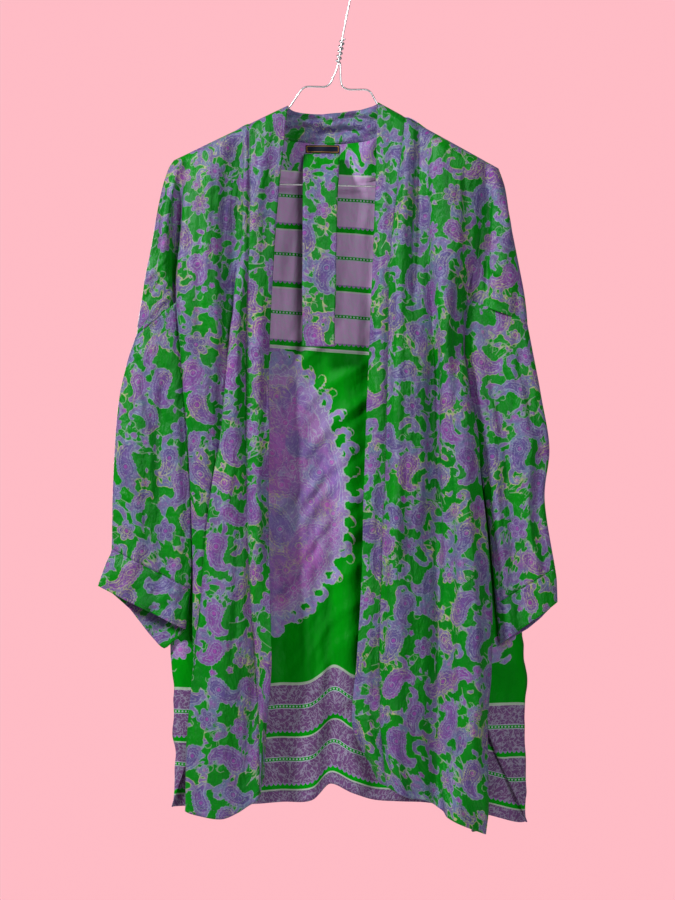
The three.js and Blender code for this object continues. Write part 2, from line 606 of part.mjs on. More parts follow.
function addBelt() {
  const centreLine = beltPath.map((point) => vec(point.x, point.y, point.z));
  const backLayer = smoothLine(centreLine, beltSteps);
  const normalOf = (k) => {
    const before = backLayer[Math.max(k - 1, 0)];
    const after = backLayer[Math.min(k + 1, backLayer.length - 1)];
    const down = after.clone().sub(before).normalize();
    return vec(0, down.z, -down.y);
  };
  const frontLayer = backLayer.map((point, k) => point.clone().addScaledVector(normalOf(k), beltPitch));
  const foldCentre = backLayer[backLayer.length - 1].clone().lerp(frontLayer[frontLayer.length - 1], 0.5);
  const turn = [45, 90, 135].map((degrees) => {
    const angle = THREE.MathUtils.degToRad(degrees);
    return foldCentre.clone().add(vec(0, -Math.cos(angle) * beltPitch / 2, -Math.sin(angle) * beltPitch / 2));
  });
  const path = [...frontLayer, ...turn, ...backLayer.reverse()];
  const topZ = beltPath[0].z;
  const footZ = beltPath[beltPath.length - 1].z;
  const points = path.map((centre) => {
    const share = THREE.MathUtils.clamp((topZ - centre.z) / (topZ - footZ), 0, 1);
    const width = THREE.MathUtils.lerp(beltWidth.top, beltWidth.foot, share);
    return [-0.5, 0, 0.5].map((across) => centre.clone().add(vec(across * width, 0, 0)));
  });
  addPiece("belt", cutWall(makeSheet(points, () => true), () => true), bandSilk);
}

addBelt();

// Label: a small patch that lies on the front face of the back panel, made from that face's points.
const labelSize = { width: 42, height: 10, thickness: 0.8, centreX: -13, topZ: -217 };

// Front face of a sheet's wall at x and z, moved out by the given distance.
function faceOf(sheet, x, z, distance, columnFrom, columnTo, rowFrom) {
  for (let i = rowFrom; i < armholeRow; i += 1) {
    for (let j = columnFrom; j < columnTo; j += 1) {
      const [a, b, c] = [sheet.points[i][j], sheet.points[i][j + 1], sheet.points[i + 1][j]];
      const across = (x - a.x) / (b.x - a.x);
      const topZ = THREE.MathUtils.lerp(a.z, b.z, across);
      const down = (z - topZ) / (c.z - a.z);
      if (across >= 0 && across <= 1 && down >= 0 && down <= 1) {
        const upper = a.y + (b.y - a.y) * across;
        const lower = c.y + (sheet.points[i + 1][j + 1].y - c.y) * across;
        return vec(x, THREE.MathUtils.lerp(upper, lower, down) - distance, z);
      }
    }
  }
  throw new Error(`no face at ${x}, ${z}`);
}

function addLabel() {
  const columns = 6;
  const rows = 2;
  const lift = halfCloth + seamGap + labelSize.thickness / 2 + 0.1;
  const points = [];
  for (let i = 0; i <= rows; i += 1) {
    const row = [];
    for (let j = 0; j <= columns; j += 1) {
      const x = labelSize.centreX + (j / columns - 0.5) * labelSize.width;
      const z = labelSize.topZ - labelSize.height * i / rows;
      row.push(faceOf(back, x, z, lift, back.neckFrom, back.neckTo, neckBandRows));
    }
    points.push(row);
  }
  const sheet = makeSheet(points, () => true);
  addPiece("label", cutWall(sheet, () => true, [], labelSize.thickness), labelCloth);
}

addLabel();

// Hanger: one bent wire, in five lengths that meet end to end with the seam gap between them.
const wireSides = 6;
const hookRadius = 24;
const hookCentre = { x: 0, z: wireRadius - hookRadius };
const twist = { topX: 11.8, topZ: -86, footX: 6.2, footZ: -119, turns: 5 };
const tipBend = 9;

// Points of the wire in x and z: the hook's shank, and each arm from the twist out to its shoulder.
const shank = [[21, -40], [17, -60], [twist.topX, twist.topZ], [twist.footX, twist.footZ]];
const leftBend = [[4.4, -126], [0.6, -134.5], [-3, -142.5], [-9, -147], [-20, -147.2], [-34, -147.6],
  [-38.5, -150.5], [-49, -165.5]];
const rightBend = [[9.2, -128], [9.6, -138], [12, -147], [18, -150.4], [30, -150.8], [42, -151.2],
  [46.5, -154], [52, -163.5]];
const leftRest = [-54.5, -62, -128];
const rightRest = [55.5, 64, 134];
const tipX = { left: -193, right: 198 };
const barZ = { left: -265.4, right: -274.2 };

function addWire(name, path, steps) {
  const section = new THREE.Shape();
  section.absarc(0, 0, wireRadius, 0, 2 * Math.PI, false);
  const wire = new THREE.ExtrudeGeometry(section, {
    steps,
    curveSegments: wireSides / 2,
    bevelEnabled: false,
    extrudePath: path,
  });
  wire.deleteAttribute("normal");
  wire.deleteAttribute("uv");
  const merged = mergeVertices(wire, 1e-3);
  merged.computeVertexNormals();
  addPiece(name, merged, brightWire);
}

const smoothPath = (points) => new THREE.CatmullRomCurve3(points, false, "centripetal");

function addHanger() {
  const hook = [];
  const openAngle = 205;
  const shankAngle = -8;
  for (let degrees = openAngle; degrees >= shankAngle; degrees -= 21.3) {
    const angle = THREE.MathUtils.degToRad(degrees);
    const x = hookCentre.x + hookRadius * Math.cos(angle);
    hook.push(vec(x, 0, hookCentre.z + hookRadius * Math.sin(angle)));
  }
  hook.push(...shank.map(([x, z]) => vec(x, 0, z)));
  addWire("hanger_hook", smoothPath(hook), 44);

  const wrap = [];
  const pitchRadius = 2 * wireRadius + seamGap;
  const wrapSteps = 45;
  for (let step = 0; step <= wrapSteps; step += 1) {
    const share = step / wrapSteps;
    const angle = 2 * Math.PI * twist.turns * share;
    wrap.push(vec(
      THREE.MathUtils.lerp(twist.topX, twist.footX, share) + pitchRadius * Math.cos(angle),
      pitchRadius * Math.sin(angle),
      THREE.MathUtils.lerp(twist.topZ - 2, twist.footZ + 1, share),
    ));
  }
  addWire("hanger_wrap", smoothPath(wrap), 54);

  const leftDown = (leftShoulder.tipZ - leftShoulder.neckZ) / (leftShoulder.tipX - leftShoulder.neckX);
  const rightDown = (rightShoulder.tipZ - rightShoulder.neckZ) / (rightShoulder.tipX - rightShoulder.neckX);
  const under = (shoulder, x) => shoulderZ(shoulder, x) - armDrop;
  const leftTip = vec(tipX.left, 0, under(leftShoulder, tipX.left));
  const rightTip = vec(tipX.right, 0, under(rightShoulder, tipX.right));
  const leftArm = [
    vec(twist.footX - 0.1, 0, twist.footZ - seamGap - 0.1),
    ...leftBend.map(([x, z]) => vec(x, 0, z)),
    ...leftRest.map((x) => vec(x, 0, under(leftShoulder, x))),
    leftTip,
  ];
  const rightArm = [
    vec(twist.footX + 2.8, 0, twist.footZ - 0.6),
    ...rightBend.map(([x, z]) => vec(x, 0, z)),
    ...rightRest.map((x) => vec(x, 0, under(rightShoulder, x))),
    rightTip,
  ];
  addWire("hanger_arm_left", smoothPath(leftArm), 44);
  addWire("hanger_arm_right", smoothPath(rightArm), 44);
  const end = seamGap + 0.2;
  const bar = [
    vec(leftTip.x - end, 0, leftTip.z - end * leftDown),
    vec(tipX.left - 5.5, 0, leftTip.z - 0.55 * tipBend),
    vec(tipX.left - 7.5, 0, barZ.left + 0.6 * tipBend),
    vec(tipX.left - 2.5, 0, barZ.left),
    vec(tipX.left + tipBend, 0, barZ.left - 0.2),
    vec(0, 0, (barZ.left + barZ.right) / 2),
    vec(tipX.right - 10, 0, barZ.right + 0.2),
    vec(tipX.right + 1, 0, barZ.right),
    vec(tipX.right + 6, 0, barZ.right + 0.6 * tipBend),
    vec(tipX.right + 4.5, 0, rightTip.z - 0.55 * tipBend),
    vec(rightTip.x + end, 0, rightTip.z + end * rightDown),
  ];
  addWire("hanger_bar", smoothPath(bar), 60);
}

addHanger();

export default kimono;
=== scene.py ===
import math
import bpy
import numpy as np
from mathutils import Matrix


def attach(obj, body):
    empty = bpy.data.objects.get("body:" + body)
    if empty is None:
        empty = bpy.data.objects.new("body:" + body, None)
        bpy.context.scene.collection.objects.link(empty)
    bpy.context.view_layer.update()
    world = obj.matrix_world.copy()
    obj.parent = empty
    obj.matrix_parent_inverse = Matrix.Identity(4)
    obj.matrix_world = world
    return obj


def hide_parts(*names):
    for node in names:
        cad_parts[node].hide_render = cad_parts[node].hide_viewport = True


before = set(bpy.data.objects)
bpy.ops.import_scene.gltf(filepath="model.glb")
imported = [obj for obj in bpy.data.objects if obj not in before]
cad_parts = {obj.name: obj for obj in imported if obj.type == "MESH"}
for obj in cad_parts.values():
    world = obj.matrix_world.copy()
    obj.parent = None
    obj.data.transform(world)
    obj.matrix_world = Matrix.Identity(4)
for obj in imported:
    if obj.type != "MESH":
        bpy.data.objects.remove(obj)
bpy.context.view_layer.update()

# Short kimono hung on a bent wire hanger. Tables are in millimetres, meshes in metres.
# Left is -X as seen from the front, which faces -Y. The origin is the inner top of the hook.

# ---- view and light
cameraView = {"x": 5.6, "z": -597.7, "away": 3200, "frameHeight": 1116}


def addCamera(view):
    camera = bpy.data.cameras.new("frontCamera")
    camera.sensor_width = 36
    camera.lens = 18 / (view["frameHeight"] / 2 / view["away"])
    camera.clip_end = 60
    holder = bpy.data.objects.new("frontCamera", camera)
    holder.location = (view["x"] / 1000, -view["away"] / 1000, view["z"] / 1000)
    holder.rotation_euler = (math.radians(90), 0, 0)
    bpy.context.scene.collection.objects.link(holder)
    bpy.context.scene.camera = holder


addCamera(cameraView)

studio = {
    "floorDrop": -1.78,
    "floorRadius": 1.35,
    "floorColour": (0.86, 0.74, 0.74),
    "skyColour": (1.0, 0.985, 0.97),
    "skyStrength": 0.14,
    "wallColour": (1.0, 0.5, 0.56),
    "lamps": [  # name, place, aim, size, watts
        ("keyLamp", (-2.2, -1.75, 1.25), (0, 0, -0.6), 0.5, 118),
        ("fillLamp", (0.9, -2.8, 0.3), (0, 0, -0.6), 0.8, 38),
        ("rearLamp", (-0.5, 2.5, -0.45), (0, 0, -0.6), 1.6, 46),
    ],
}


def newMaterial(name):
    material = bpy.data.materials.new(name)
    material.use_nodes = True
    shader = material.node_tree.nodes["Principled BSDF"]
    return material, material.node_tree, shader


def addStudio(settings):
    scene = bpy.context.scene
    scene.view_settings.view_transform = "Standard"
    disc = bpy.data.meshes.new("floor")
    count = 96
    ring = [(math.cos(2 * math.pi * k / count), math.sin(2 * math.pi * k / count)) for k in range(count)]
    radius = settings["floorRadius"]
    disc.from_pydata([(radius * x, radius * y, settings["floorDrop"]) for x, y in ring], [], [range(count)])
    floor = bpy.data.objects.new("floor", disc)
    material, tree, shader = newMaterial("paleFloor")
    shader.inputs["Base Color"].default_value = (*settings["floorColour"], 1)
    shader.inputs["Roughness"].default_value = 0.8
    disc.materials.append(material)
    scene.collection.objects.link(floor)
    world = bpy.data.worlds.new("softStudio")
    world.use_nodes = True
    tree = world.node_tree
    light = tree.nodes["Background"]
    light.inputs["Color"].default_value = (*settings["skyColour"], 1)
    light.inputs["Strength"].default_value = settings["skyStrength"]
    wall = tree.nodes.new("ShaderNodeBackground")
    wall.inputs["Color"].default_value = (*settings["wallColour"], 1)
    rays = tree.nodes.new("ShaderNodeLightPath")
    both = tree.nodes.new("ShaderNodeMixShader")
    tree.links.new(rays.outputs["Is Camera Ray"], both.inputs[0])
    tree.links.new(light.outputs[0], both.inputs[1])
    tree.links.new(wall.outputs[0], both.inputs[2])
    tree.links.new(both.outputs[0], tree.nodes["World Output"].inputs[0])
    scene.world = world
    for name, place, aim, size, watts in settings["lamps"]:
        lamp = bpy.data.lights.new(name, "AREA")
        lamp.size = size
        lamp.energy = watts
        holder = bpy.data.objects.new(name, lamp)
        holder.location = place
        toward = np.subtract(aim, place)
        spin = math.atan2(toward[1], toward[0])
        tilt = math.atan2(math.hypot(toward[0], toward[1]), -toward[2])
        holder.rotation_euler = (tilt, 0, spin - math.pi / 2)
        scene.collection.objects.link(holder)


addStudio(studio)
print("studio ready")


# ---- curves and sheets of cloth
def throughKeys(keys, values, t):  # smooth curve through falling keys that never overshoots
    keys = np.asarray(keys, float)
    values = np.asarray(values, float)
    t = np.clip(t, keys[-1], keys[0])
    chord = np.diff(values) / np.diff(keys)
    product = chord[:-1] * chord[1:]
    total = chord[:-1] + chord[1:]
    inner = np.where(product > 0, 2 * product / np.where(total == 0, 1, total), 0)
    slope = np.concatenate([chord[:1], inner, chord[-1:]])
    k = np.clip(np.searchsorted(-keys, -t, side="right") - 1, 0, len(keys) - 2)
    span = keys[k + 1] - keys[k]
    s = (t - keys[k]) / span
    rise = s * s * (3 - 2 * s)
    bend = span * s * (1 - s) * ((1 - s) * slope[k] - s * slope[k + 1])
    return values[k] * (1 - rise) + values[k + 1] * rise + bend


def smoothLine(points, steps):  # curve through points[..., n, 3] with its own count of steps in each span
    points = np.asarray(points, float)
    first = 2 * points[..., :1, :] - points[..., 1:2, :]
    final = 2 * points[..., -1:, :] - points[..., -2:-1, :]
    p = np.concatenate([first, points, final], axis=-2)
    gap = np.sqrt(np.linalg.norm(np.diff(p, axis=-2), axis=-1))[..., None]
    line = []
    for k, count in enumerate(steps):
        p0, p1, p2, p3 = (p[..., k + n, :] for n in range(4))
        h0, h1, h2 = (gap[..., k + n, :] for n in range(3))
        m1 = ((p1 - p0) / h0 - (p2 - p0) / (h0 + h1) + (p2 - p1) / h1) * h1
        m2 = ((p2 - p1) / h1 - (p3 - p1) / (h1 + h2) + (p3 - p2) / h2) * h1
        t = (np.arange(count) / count)[:, None]
        rise = t * t * (3 - 2 * t)
        a, b, c, d = (q[..., None, :] for q in (p1, p2, m1, m2))
        line.append(a * (1 - rise) + b * rise + c * t * (1 - t) ** 2 - d * t * t * (1 - t))
    line.append(points[..., -1:, :])
    return np.concatenate(line, axis=-2)


def smoothStep(low, high, value):
    s = np.clip((value - low) / (high - low), 0, 1)
    return s * s * (3 - 2 * s)


def softNoise(x, y, seed):  # value noise from -1 to 1 on a lattice of whole numbers
    table = np.random.default_rng(seed).uniform(-1, 1, (64, 64))
    xi = np.floor(x).astype(int)
    yi = np.floor(y).astype(int)
    fx = x - xi
    fy = y - yi
    fx = fx * fx * (3 - 2 * fx)
    fy = fy * fy * (3 - 2 * fy)
    top = table[xi % 64, yi % 64] * (1 - fx) + table[(xi + 1) % 64, yi % 64] * fx
    foot = table[xi % 64, (yi + 1) % 64] * (1 - fx) + table[(xi + 1) % 64, (yi + 1) % 64] * fx
    return top * (1 - fy) + foot * fy


hang = {
    "wall": 0.9,
    "gap": 0.15,
    "shoulderRound": 13,
    "roundAngles": [0, 32, 62, 90],
    "upperRows": 5,
    "lowerRows": 13,
    "levels": [-330, -414, -560, -720, -850, -930],  # chest, underarm, waist, hip, thigh, slit
}
lastRound = len(hang["roundAngles"]) - 1
armholeRow = lastRound + hang["upperRows"]
hemRow = armholeRow + hang["lowerRows"]
leftShoulder = {"neckX": -56, "neckZ": -171, "tipX": -197, "tipZ": -239}
rightShoulder = {"neckX": 56, "neckZ": -167, "tipX": 205, "tipZ": -249}


def rowPlaces(roundSteps, rowSteps):  # places of fine rows between the named ones
    rounds = np.arange(lastRound * roundSteps) / roundSteps
    below = lastRound + np.arange((hemRow - lastRound) * rowSteps + 1) / rowSteps
    return np.concatenate([rounds, below])


def shoulderHeight(shoulder, x):
    fall = (shoulder["tipZ"] - shoulder["neckZ"]) / (shoulder["tipX"] - shoulder["neckX"])
    return shoulder["neckZ"] + fall * (x - shoulder["neckX"])


def hangingLine(rows, topZ, middleZ, bottomZ, keys, xs, ys, startY):  # leaves level, rounds over and hangs
    angle = np.radians(np.interp(rows, range(lastRound + 1), hang["roundAngles"]))
    roundedZ = topZ - hang["shoulderRound"] * (1 - np.cos(angle))
    upper = roundedZ + (middleZ - roundedZ) * np.clip((rows - lastRound) / hang["upperRows"], 0, 1)
    lower = middleZ + (bottomZ - middleZ) * (rows - armholeRow) / hang["lowerRows"]
    z = np.where(rows > armholeRow, lower, upper)
    x = throughKeys(keys, xs, z)
    y = startY + (throughKeys(keys, ys, z) - startY) * np.sin(angle)
    return np.stack([x, y, z], axis=-1)


def foldLine(rows, fold, topZ, startY):
    name, hemZ, xs, ys = fold
    return hangingLine(rows, topZ, hang["levels"][1], hemZ, [topZ, *hang["levels"], hemZ], xs, ys, startY)


def dropLines(rows, drop, edge, shoulder, side):  # lines of the dropped shoulder out to its folded edge
    upper = np.minimum(rows, armholeRow)
    startY = side * hang["gap"]
    lines = []
    for name, seamZ, xs, ys in drop:
        topZ = shoulderHeight(shoulder, xs[0])
        turned = [-side * y for y in ys]
        lines.append(hangingLine(upper, topZ, seamZ, 0, [topZ, hang["levels"][0], seamZ], xs, turned, startY))
    still = [startY for _ in edge["z"]]
    lines.append(hangingLine(upper, edge["z"][0], edge["z"][-1], 0, edge["z"], edge["x"], still, startY))
    return lines


def spanSteps(lines, rows, spacing):
    lengths = np.linalg.norm(np.diff(lines, axis=1), axis=-1)
    upper = 1.1 * lengths[rows <= armholeRow].max(axis=0) / spacing
    lower = 0.62 * lengths.max(axis=0) / spacing
    return [max(2, math.ceil(count)) for count in np.maximum(upper, lower)]


def sheetNormals(points, facing):
    down = np.gradient(points, axis=0)
    across = np.gradient(points, axis=1)
    normal = np.cross(down, across) * facing
    return normal / np.maximum(np.linalg.norm(normal, axis=-1, keepdims=True), 1e-9)


def clothPlaces(points, anchor=0):  # how far each point is across its cloth from a column, and down it
    across = np.linalg.norm(np.diff(points, axis=1), axis=-1)
    u = np.concatenate([np.zeros((points.shape[0], 1)), np.cumsum(across, axis=1)], axis=1)
    step = np.linalg.norm(np.diff(points, axis=0), axis=-1)
    down = np.concatenate([np.zeros((1, points.shape[1])), np.cumsum(step, axis=0)])
    return u - u[:, anchor:anchor + 1], down - points[0, :, 2]


def nearCrease(points, crease):  # 1 along a soft crease in X and Z that fades to 0 at its sides and ends
    x1, z1, x2, z2, depth, half = crease
    along = np.array([x2 - x1, z2 - z1], float)
    length = np.linalg.norm(along)
    along /= length
    dx = points[..., 0] - x1
    dz = points[..., 2] - z1
    share = (dx * along[0] + dz * along[1]) / length
    off = np.abs(dz * along[0] - dx * along[1]) / half
    ends = smoothStep(-0.12, 0.25, share) * smoothStep(-0.12, 0.25, 1 - share)
    return depth * ends * np.where(off < 1, (1 - off * off) ** 2, 0)


def crumple(points, facing, creases, keep, streaks, seed):  # small folds added along the sheet's normals
    u, v = clothPlaces(points)
    wave = softNoise(u / 15 + 0.15 * softNoise(u / 60, v / 120, seed + 9), v / 170, seed)
    broad = softNoise(u / 34, v / 95 + u / 200, seed + 1)
    dimple = softNoise(u / 19, v / 27, seed + 2) + 0.6 * softNoise(u / 9, v / 13 + 4, seed + 3)
    pull = softNoise(u / 23 - v / 260, v / 230, seed + 4)
    rise = streaks * (0.85 * wave + 1.0 * broad + 1.1 * pull) + 0.4 * dimple
    for crease in creases:
        rise = rise + nearCrease(points, crease)
    return points + sheetNormals(points, facing) * (rise * keep)[..., None]


# ---- fronts and back: fold lines with x and y at the shoulder, chest, underarm, waist, hip, thigh, slit, hem
leftFront = {
    "shoulder": leftShoulder,
    "facing": -1,
    "seed": 11,
    "spacing": 2.5,
    "streaks": 3.0,
    "folds": [
        ("bandEdge", -1003, [-56, -71, -75, -78, -78, -78, -80, -84],
         [-8, -13, -14, -15, -16, -15, -14, -12]),
        ("bandMiddle", -1005, [-80, -88, -91, -93, -92, -87, -85, -87],
         [-13, -18, -19, -20, -21, -20, -18, -15]),
        ("bandSeam", -1025, [-103, -104, -106, -107, -105, -97, -91, -92],
         [-15, -17, -18, -19, -20, -19, -18, -16]),
        ("mainRidge", -1051, [-107, -110, -114, -123, -130, -135, -134, -134],
         [-17, -21, -24, -31, -36, -37, -36, -34]),
        ("darkEdge", -1042, [-111, -115, -123, -139, -157, -173, -177, -181],
         [-16, -19, -22, -26, -28, -27, -26, -25]),
        ("tuck", -1040, [-117, -119, -122, -130, -142, -154, -158, -160],
         [-13, -11, -10, -9, -10, -12, -13, -12]),
        ("wedgeRidge", -1038, [-140, -148, -152, -160, -165, -168, -170, -171],
         [-18, -24, -25, -22, -15, -6, -5, -4]),
        ("outerFold", -1038, [-163, -183, -187, -183, -175, -174, -173, -173],
         [-17, -17, -15, -12, -8, 0, 3, 4]),
        ("seamTurn", -1038, [-173, -189, -189, -171, -163, -164, -165, -164],
         [-13, -9, -4, -2, 2, 5, 7, 7]),
        ("sideSeam", -1038, [-179, -193, -192, -165, -157, -157, -158, -158],
         [-10, -5, -2, 1, 5, 7, 7, 8]),
    ],
    "drop": [
        ("dropRidge", -432, [-187, -208, -214],
         [-12, -13, -12]),
        ("dropRound", -454.4, [-195, -221, -242], [-7, -7, -6]),
    ],
    "edge": {"z": [-239, -248, -276, -358, -413, -456], "x": [-197, -203, -212, -227, -237, -244]},
    "creases": [  # x and z at both ends, height and half width
        (-150, -225, -158, -420, 1.6, 7),
        (-192, -236, -194, -420, -5.5, 6),
        (-182, -240, -183, -400, 3.0, 7),
        (-113, -200, -116, -380, -5.0, 6),
        (-134, -240, -140, -520, -2.6, 8),
        (-127, -360, -144, -600, -2.6, 6),
        (-162, -250, -166, -470, -2.4, 6),
        (-205, -330, -236, -372, -1.5, 5),
        (-203, -356, -238, -398, 1.4, 4),
        (-204, -380, -240, -420, -1.6, 5),
        (-196, -400, -236, -440, 1.2, 4),
        (-80, -470, -108, -500, -1.1, 5),
        (-82, -500, -110, -522, 0.9, 4),
        (-79, -540, -104, -556, -0.9, 5),
        (-120, -600, -150, -760, 1.6, 8),
        (-110, -640, -128, -900, -1.5, 7),
        (-140, -820, -158, -1020, 1.4, 8),
        (-98, -760, -112, -1000, 1.3, 6),
        (-64, -215, -100, -232, -0.9, 5),
        (-70, -300, -101, -310, 0.8, 5),
    ],
}
rightFront = {
    "shoulder": rightShoulder,
    "facing": 1,
    "seed": 27,
    "spacing": 2.5,
    "streaks": 3.0,
    "folds": [
        ("bandEdge", -1008, [56, 49, 46, 42, 37, 31, 23, 54],
         [-8, -13, -14, -16, -18, -18, -18, -10]),
        ("bandMiddle", -1010, [72, 61, 57, 54, 48, 44, 40, 60],
         [-13, -18, -19, -21, -22, -22, -22, -14]),
        ("bandSeam", -1012, [89, 73, 69, 67, 60, 57, 58, 68],
         [-15, -17, -18, -19, -20, -20, -20, -17]),
        ("narrowCrest", -1020, [95, 84, 81, 79, 76, 74, 74, 80],
         [-18, -26, -29, -31, -32, -31, -31, -28]),
        ("narrowEdge", -1026, [101, 92, 90, 89, 89, 88, 88, 92],
         [-17, -22, -24, -26, -27, -26, -26, -24]),
        ("groove", -1030, [107, 104, 106, 110, 112, 112, 112, 111],
         [-13, -15, -16, -17, -17, -17, -17, -16]),
        ("creaseEdge", -1037, [115, 119, 122, 127, 129, 129, 129, 127],
         [-15, -10, -8, -7, -6, -6, -6, -8]),
        ("broadCrest", -1055, [136, 139, 137, 145, 153, 158, 157, 152],
         [-21, -28, -31, -34, -37, -37, -36, -34]),
        ("outerFold", -1071, [168, 170, 157, 176, 193, 201, 196, 187],
         [-18, -19, -18, -19, -20, -20, -20, -20]),
        ("seamTurn", -1071, [184, 179, 164, 163, 176, 184, 182, 178],
         [-13, -9, -4, -2, 0, 2, 3, 3]),
        ("sideSeam", -1071, [190, 183, 167, 158, 170, 178, 176, 172],
         [-10, -5, -2, 1, 3, 4, 5, 5]),
    ],
    "drop": [
        ("dropRidge", -427, [197, 206, 204],
         [-12, -13, -12]),
        ("dropRound", -438.9, [204, 220, 238], [-7, -7, -6]),
    ],
    "edge": {"z": [-249, -273, -312, -358, -412, -440], "x": [205, 213, 219, 228, 238, 241]},
    "creases": [
        (118, -196, 142, -216, -2.2, 6),
        (124, -204, 132, -420, 2.6, 8),
        (106, -190, 99, -420, -4.0, 6),
        (192, -262, 189, -420, -5.0, 6),
        (160, -240, 166, -400, -2.8, 7),
        (176, -300, 170, -520, 2.4, 7),
        (146, -250, 150, -330, 1.2, 6),
        (196, -330, 232, -366, -1.4, 5),
        (194, -352, 234, -390, 1.3, 4),
        (190, -376, 236, -414, -1.5, 5),
        (182, -396, 226, -430, 1.2, 4),
        (50, -268, 72, -284, -1.2, 5),
        (48, -290, 70, -296, 1.0, 4),
        (44, -480, 66, -490, -0.9, 5),
        (42, -640, 60, -652, 0.8, 5),
        (138, -560, 160, -900, -1.8, 9),
        (162, -620, 182, -980, 1.5, 8),
        (120, -700, 126, -1010, 1.4, 7),
        (150, -880, 178, -1030, -1.5, 8),
        (24, -900, 56, -1000, 1.6, 8),
        (30, -860, 52, -930, -1.4, 6),
    ],
}
backPanel = {
    "facing": 1,
    "seed": 43,
    "spacing": 3.3,
    "outerShare": 0.6,
    "streaks": 2.5,
    "folds": [
        ("leftSeam", -1042, [-179, -193, -192, -165, -157, -157, -166, -201],
         [10, 5, 2, 3, 7, 9, 11, 15]),
        ("leftTurn", -1042, [-175, -192, -191, -188, -190, -192, -189, -199],
         [12, 8, 6, 13, 15, 15, 16, 17]),
        ("leftFold", -1042, [-169, -189, -189, -197, -199, -201, -197, -196],
         [14, 12, 11, 18, 20, 20, 20, 18]),
        ("leftRear", -1042, [-160, -183, -186, -190, -191, -192, -189, -190],
         [16, 15, 15, 23, 25, 25, 24, 20]),
        ("leftTrough", -1041, [-144, -153, -158, -165, -167, -168, -166, -164],
         [17, 18, 18, 20, 21, 21, 20, 18]),
        ("leftRidge", -1040, [-124, -126, -127, -131, -132, -132, -132, -133],
         [19, 24, 26, 29, 30, 30, 29, 26]),
        ("neckLeft", -1039, [-103, -97, -96, -98, -99, -99, -99, -100],
         [15, 19, 19, 18, 18, 18, 18, 17]),
        ("midLeft", -1037, [-74, -66, -66, -66, -66, -66, -66, -66],
         [17, 23, 24, 25, 26, 27, 26, 23]),
        ("beltLeft", -1034, [-36, -36, -36, -34, -32, -30, -28, -26],
         [22, 24, 23, 22, 22, 21, 19, 16]),
        ("notch", -1015, [-8, -10, -10, -8, -4, 0, 0, -4],
         [24, 25, 26, 26, 27, 28, 28, 28]),
        ("beltRight", -1026, [20, 16, 16, 16, 18, 22, 24, 26],
         [22, 23, 23, 22, 22, 21, 20, 18]),
        ("midRight", -1035, [58, 48, 46, 44, 46, 48, 50, 52],
         [17, 25, 26, 27, 28, 29, 28, 26]),
        ("neckRight", -1036, [89, 82, 80, 78, 80, 82, 84, 86],
         [15, 20, 20, 19, 19, 19, 19, 18]),
        ("rightRidge", -1040, [120, 114, 110, 112, 118, 124, 128, 130],
         [19, 25, 27, 30, 31, 31, 30, 28]),
        ("rightTrough", -1052, [148, 146, 140, 156, 172, 184, 190, 190],
         [17, 18, 18, 20, 20, 20, 20, 19]),
        ("rightRear", -1062, [170, 173, 160, 188, 211, 227, 232, 228],
         [16, 15, 15, 23, 25, 25, 24, 21]),
        ("rightFold", -1062, [179, 179, 164, 197, 220, 236, 241, 236],
         [14, 12, 11, 18, 20, 20, 20, 19]),
        ("rightTurn", -1061, [186, 182, 166, 188, 211, 226, 231, 240],
         [12, 8, 6, 13, 15, 15, 16, 18]),
        ("rightSeam", -1061, [190, 183, 167, 158, 170, 178, 188, 242],
         [10, 5, 2, 3, 5, 6, 9, 16]),
    ],
    "neckSeam": {  # y and z where the folds meet the neck band
        "midLeft": (18, -208),
        "beltLeft": (22, -214),
        "notch": (24, -216),
        "beltRight": (22, -215),
        "midRight": (18, -208),
    },
    "neckTop": [(-56, 0.15, -171), (-55, 6, -173), (-44, 16, -177), (-20, 21, -179), (4, 22, -177),
                (24, 21, -175), (44, 16, -171), (55, 6, -168), (56, 0.15, -167)],
    "creases": [
        (-44, -260, -40, -470, -1.0, 6),
        (30, -240, 26, -520, 1.3, 7),
        (10, -480, -6, -900, -1.6, 10),
        (-40, -500, -34, -860, 1.5, 9),
        (-20, -640, -24, -960, -1.2, 7),
        (36, -700, 34, -980, -1.3, 8),
        (196, -955, 230, -1010, -2.4, 6),
        (204, -900, 226, -1000, 1.8, 7),
        (-120, -300, -124, -760, -1.8, 11),
        (70, -300, 64, -820, -1.7, 11),
        (-84, -520, -80, -980, 1.6, 10),
        (150, -520, 168, -940, -1.6, 10),
        (-150, -600, -152, -980, 1.5, 9),
        (-50, -186, 6, -194, 7.5, 5.5),
        (-34, -202, 50, -196, -7, 5.5),
        (-52, -180, -4, -187, -6.5, 5),
        (-8, -184, 52, -199, 7.5, 5.5),
        (6, -178, 54, -188, -6.5, 5),
        (-52, -206, -10, -197, 6, 5),
        (-92, -230, -60, -244, -1.2, 5),
    ],
}


def seamWeight(points, columns, reach):  # 0 on the named columns and 1 further off than reach
    u = clothPlaces(points)[0]
    weight = np.ones(points.shape[:2])
    for column, rows in columns:
        near = smoothStep(0, reach, np.abs(u - u[:, column:column + 1]))
        weight = np.where(rows[:, None], np.minimum(weight, near), weight)
    return weight


def pressSeam(points, facing, column, depth, half):  # a sewn seam draws the cloth in along a column
    u = clothPlaces(points)[0]
    pull = depth * np.exp(-((u - u[:, column:column + 1]) / half) ** 2)
    pucker = 1 + 0.5 * softNoise(points[..., 2] / 7, u / 40, column)
    return points - sheetNormals(points, facing) * (pull * pucker)[..., None]


